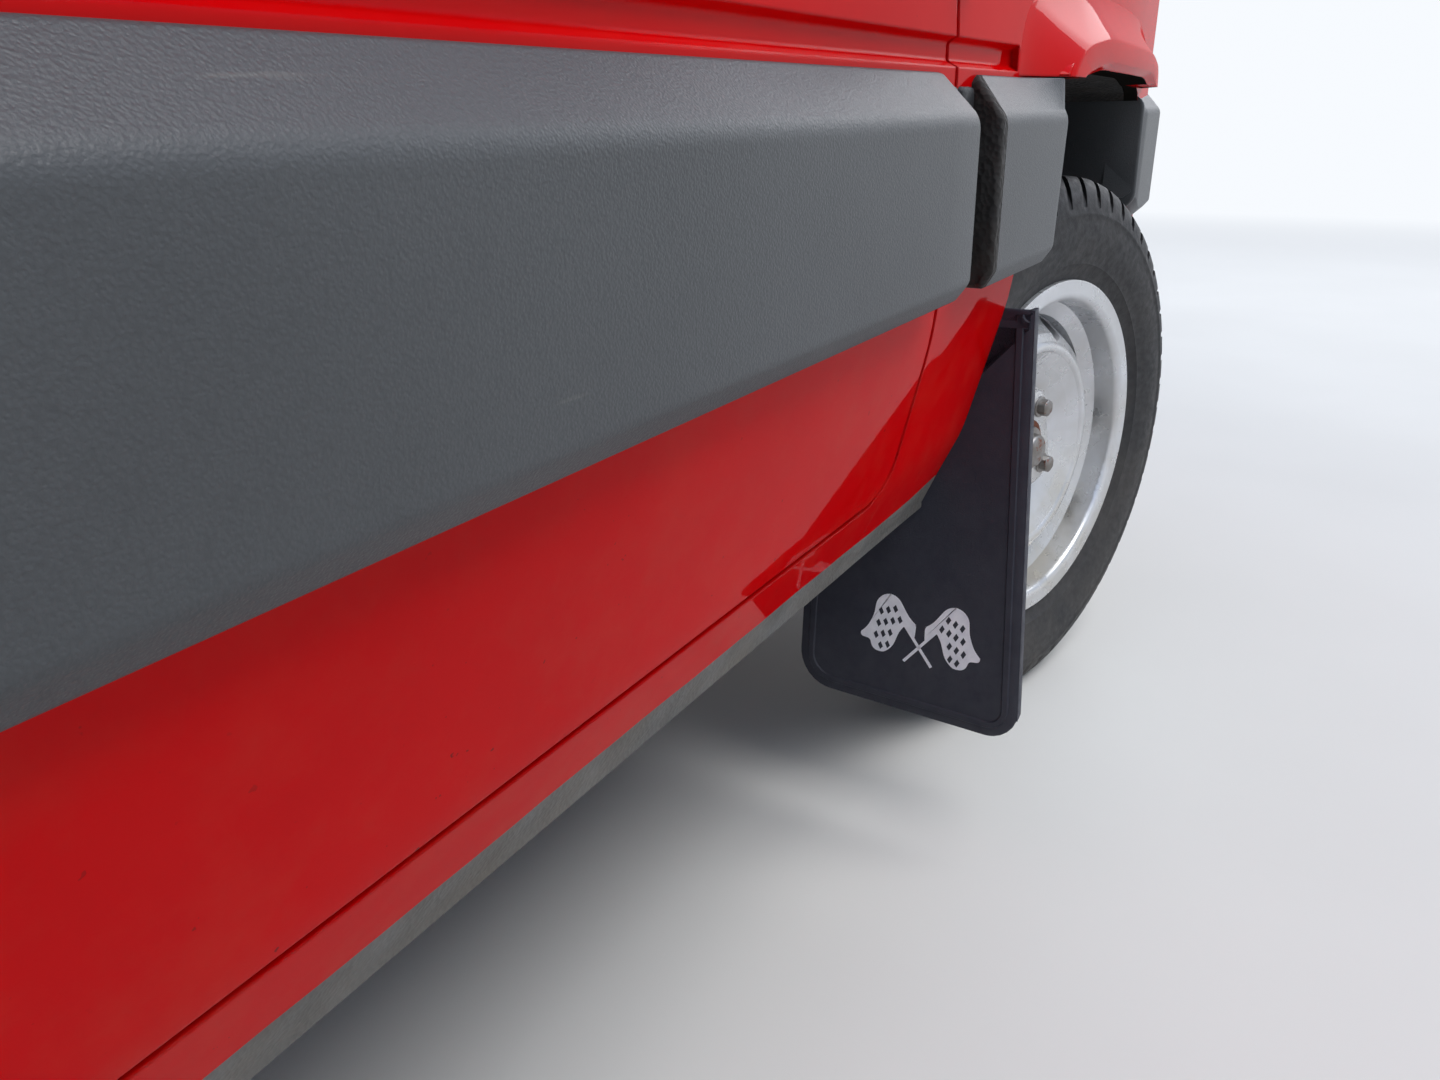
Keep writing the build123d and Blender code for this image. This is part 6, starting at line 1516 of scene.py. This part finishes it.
def doorCard():
    # The trim panel on a door's inner side, with a pressed pocket, an armrest, a winder and a pull.
    outline = densified(
        roundedOutline([(-330, 390, 40), (470, 390, 40), (540, 560, 40), (540, 900, 30), (-330, 900, 30)], 6),
        20,
    )
    card = plate(outline, [(0, 4.0), (3, 6.0), (18, 6.5), (24, 4.5), (60, 4.5)], 0.0)
    x, z, h = card[0].T
    y = skinY(x, z) - 42 - h
    rest = roundedBox((-240, 610, 700), (120, 668, 742), 16, "x", 1)
    winder = [
        tube(
            smoothPath([(230, 664, 640), (232, 640, 640), (262, 634, 690), (276, 632, 712)], 12),
            np.linspace(9, 6, 12), 12, 1,
        ),
        tube(np.array([(276.0, 636, 712), (277, 622, 713), (278, 606, 714)]), [9, 10, 8], 14, 1),
    ]
    pocket = roundedBox((-60, 630, 420), (440, 668, 520), 14, "x", 1)
    return [(pointsOf(x, y, z), card[1], 0), rest, pocket, *winder]


makePair("doorCard", doorCard(), [piping, blackPlastic], "door_SIDE", sharp=50)
makePair("floorMat", [roundedBox((-40, 120, 333.2), (560, 560, 339.5), 2.5)], carpet, slot="seat_fabric")
print("cabin made")


# Engine bay: what shows of the block

def engineShells():
    # The block keeps its box; on it sit the rocker cover, filter, ducts, belts and ribs.
    parts = [roundedBox((1040, -220, 304), (1385, 262, 590), 14, "z")]
    parts += [roundedBox((1036, y - 4, 320), (1389, y + 4, 580), 3, "z") for y in np.linspace(-190, 230, 8)]
    parts += [
        roundedBox((1085, -205, 588), (1330, 245, 636), 18, "y"),
        roundedBox((1105, -190, 632), (1305, 230, 668), 20, "y", 1),
    ]
    parts += [
        roundedBox((1100, y - 5, 640), (1310, y + 5, 674), 4, "x", 1) for y in np.linspace(-160, 200, 7)
    ]
    filterBox = turned([(0, 0), (112, 0), (122, 8), (122, 40), (112, 48), (40, 50), (0, 50)], 56, 1)
    parts.append(placed(filterBox, (1200, -90, 668), math.pi / 2, "X"))
    parts.append(tube(
        smoothPath([(1240, -200, 690), (1330, -226, 680), (1372, -180, 640), (1376, -120, 560)], 24),
        22 + 1.6 * np.cos(np.arange(24) * math.pi), 18, 2,
    ))
    parts.append(tube(
        smoothPath([(1110, 200, 640), (1070, 226, 600), (1056, 236, 480), (1070, 240, 380)], 24), 17.0, 16, 2,
    ))
    for x, z, r in ((1120, 400, 62), (1240, 470, 40), (1310, 380, 48)):
        pulley = [
            (0, 0), (r, 0), (r, 6), (r - 8, 12), (r, 18), (r, 24), (r * 0.5, 24), (r * 0.4, 14), (0, 14),
        ]
        parts.append(turned(pulley, 48, 3, place=(x, 262, z)))
    return parts


makePiece(
    "engineDetail", engineShells(), [castMetal, blackPlastic, chassisBlack, hubIron], "shell", "engine_metal",
    replaces=["engine_block"], sharp=40,
)
print("engine made")


# Floor, light and camera

stageLook = {
    "size": 60.0, "worldStrength": 0.42, "keyPower": 230.0, "fillPower": 80.0, "white": (0.93, 0.96, 1.0),
    "sky": (0.52, 0.68, 1.0), "fadeFrom": 3.0, "fadeTo": 7.5,
}


def seenByEye(tree):
    # One for camera, mirror and glass rays, zero for the rays that light the object.
    ray = addNode(tree, "LightPath")
    seen = maths(tree, "MAXIMUM", ray.outputs["Is Camera Ray"], ray.outputs["Is Glossy Ray"])
    return maths(tree, "MAXIMUM", seen, ray.outputs["Is Transmission Ray"])


def paleSurface(name):
    # A pale matt floor that keeps the shadows and fades into the white background with distance.
    made, tree, shader, coords = newFinish(name, linear(226, 226, 224), 0.9)
    tone = mixed(
        tree, spread(tree, noise(tree, coords, 1.2, 3), 0.3, 0.7), linear(228, 228, 226),
        linear(222, 222, 220),
    )
    away = addNode(tree, "VectorMath", {0: coords}, operation="LENGTH").outputs["Value"]
    far = spread(tree, away, stageLook["fadeFrom"], stageLook["fadeTo"])
    tree.links.new(mixed(tree, far, tone, (0, 0, 0, 1)), shader.inputs["Base Color"])
    tree.links.new(spread(tree, far, 0, 1, 0.5, 0.0), shader.inputs["Specular IOR Level"])
    shader.inputs["Emission Color"].default_value = (*stageLook["white"], 1)
    tree.links.new(times(tree, far, seenByEye(tree)), shader.inputs["Emission Strength"])
    return made


def softWorld():
    world = bpy.data.worlds.new("studio")
    bpy.context.scene.world = world
    world.use_nodes = True
    tree = world.node_tree
    back = tree.nodes["Background"]
    # White for the camera, and bluer towards the top for everything that the sky lights or mirrors in.
    height = addNode(
        tree, "SeparateXYZ", {"Vector": addNode(tree, "TexCoord").outputs["Generated"]},
    ).outputs["Z"]
    white, sky = (*stageLook["white"], 1), (*stageLook["sky"], 1)
    direct = addNode(tree, "LightPath").outputs["Is Camera Ray"]
    share = times(tree, spread(tree, height, 0.1, 0.8), spread(tree, direct, 0, 1, 1, 0))
    tree.links.new(mixed(tree, share, white, sky), back.inputs["Color"])
    tree.links.new(
        spread(tree, seenByEye(tree), 0, 1, stageLook["worldStrength"], 1.0), back.inputs["Strength"],
    )


def areaLight(name, place, target, size, power, colour=(1, 1, 1)):
    lamp = bpy.data.lights.new(name, "AREA")
    lamp.shape, lamp.size, lamp.size_y, lamp.energy, lamp.color = "RECTANGLE", size[0], size[1], power, colour
    holder = newObject(name, lamp)
    holder.location = place
    holder.rotation_euler = (Vector(target) - Vector(place)).to_track_quat("-Z", "Y").to_euler()


floorHalf = stageLook["size"] / 2
floorMesh = bpy.data.meshes.new("floor")
floorMesh.from_pydata(
    [(a * floorHalf, b * floorHalf, 0) for a, b in ((-1, -1), (1, -1), (1, 1), (-1, 1))], [], [(0, 1, 2, 3)],
)
floorMesh.materials.append(paleSurface("paleFloor"))
newObject("floor", floorMesh)
softWorld()
areaLight("keySky", (0.8, -3.2, 5.2), (0.4, -0.6, 0.5), (4.5, 3.0), stageLook["keyPower"], (1.0, 0.98, 0.95))
areaLight("fillLeft", (-2.0, 4.4, 3.4), (0, 0.5, 0.6), (4.0, 3.0), stageLook["fillPower"], (0.95, 0.97, 1.0))
areaLight("fillFront", (5.2, -1.0, 2.6), (1.2, -0.4, 0.5), (3.0, 2.0), stageLook["fillPower"] * 0.7)

view = {"place": (-0.056, -0.952, 0.627), "yaw": 0.544, "down": 0.386, "roll": -0.019, "focal": 1047.0}


def aimCamera():
    # Camera axes from yaw, downward pitch and roll; focal length in pixels of a 1440 wide image.
    yaw, down, roll = view["yaw"], view["down"], view["roll"]
    ahead = Vector((math.cos(yaw) * math.cos(down), math.sin(yaw) * math.cos(down), -math.sin(down)))
    right = Vector((math.sin(yaw), -math.cos(yaw), 0))
    up = right.cross(ahead)
    across = math.cos(roll) * right + math.sin(roll) * up
    upward = -math.sin(roll) * right + math.cos(roll) * up
    lens = bpy.data.cameras.new("camera")
    lens.sensor_width, lens.lens = 36, 36 * view["focal"] / 1440
    lens.clip_start, lens.clip_end = 0.02, 100
    holder = newObject("camera", lens)
    turn = Matrix((across, upward, -ahead)).transposed().to_4x4()
    holder.matrix_world = Matrix.Translation(Vector(view["place"])) @ turn
    bpy.context.scene.camera = holder


aimCamera()
bpy.context.scene.view_settings.view_transform = "Standard"
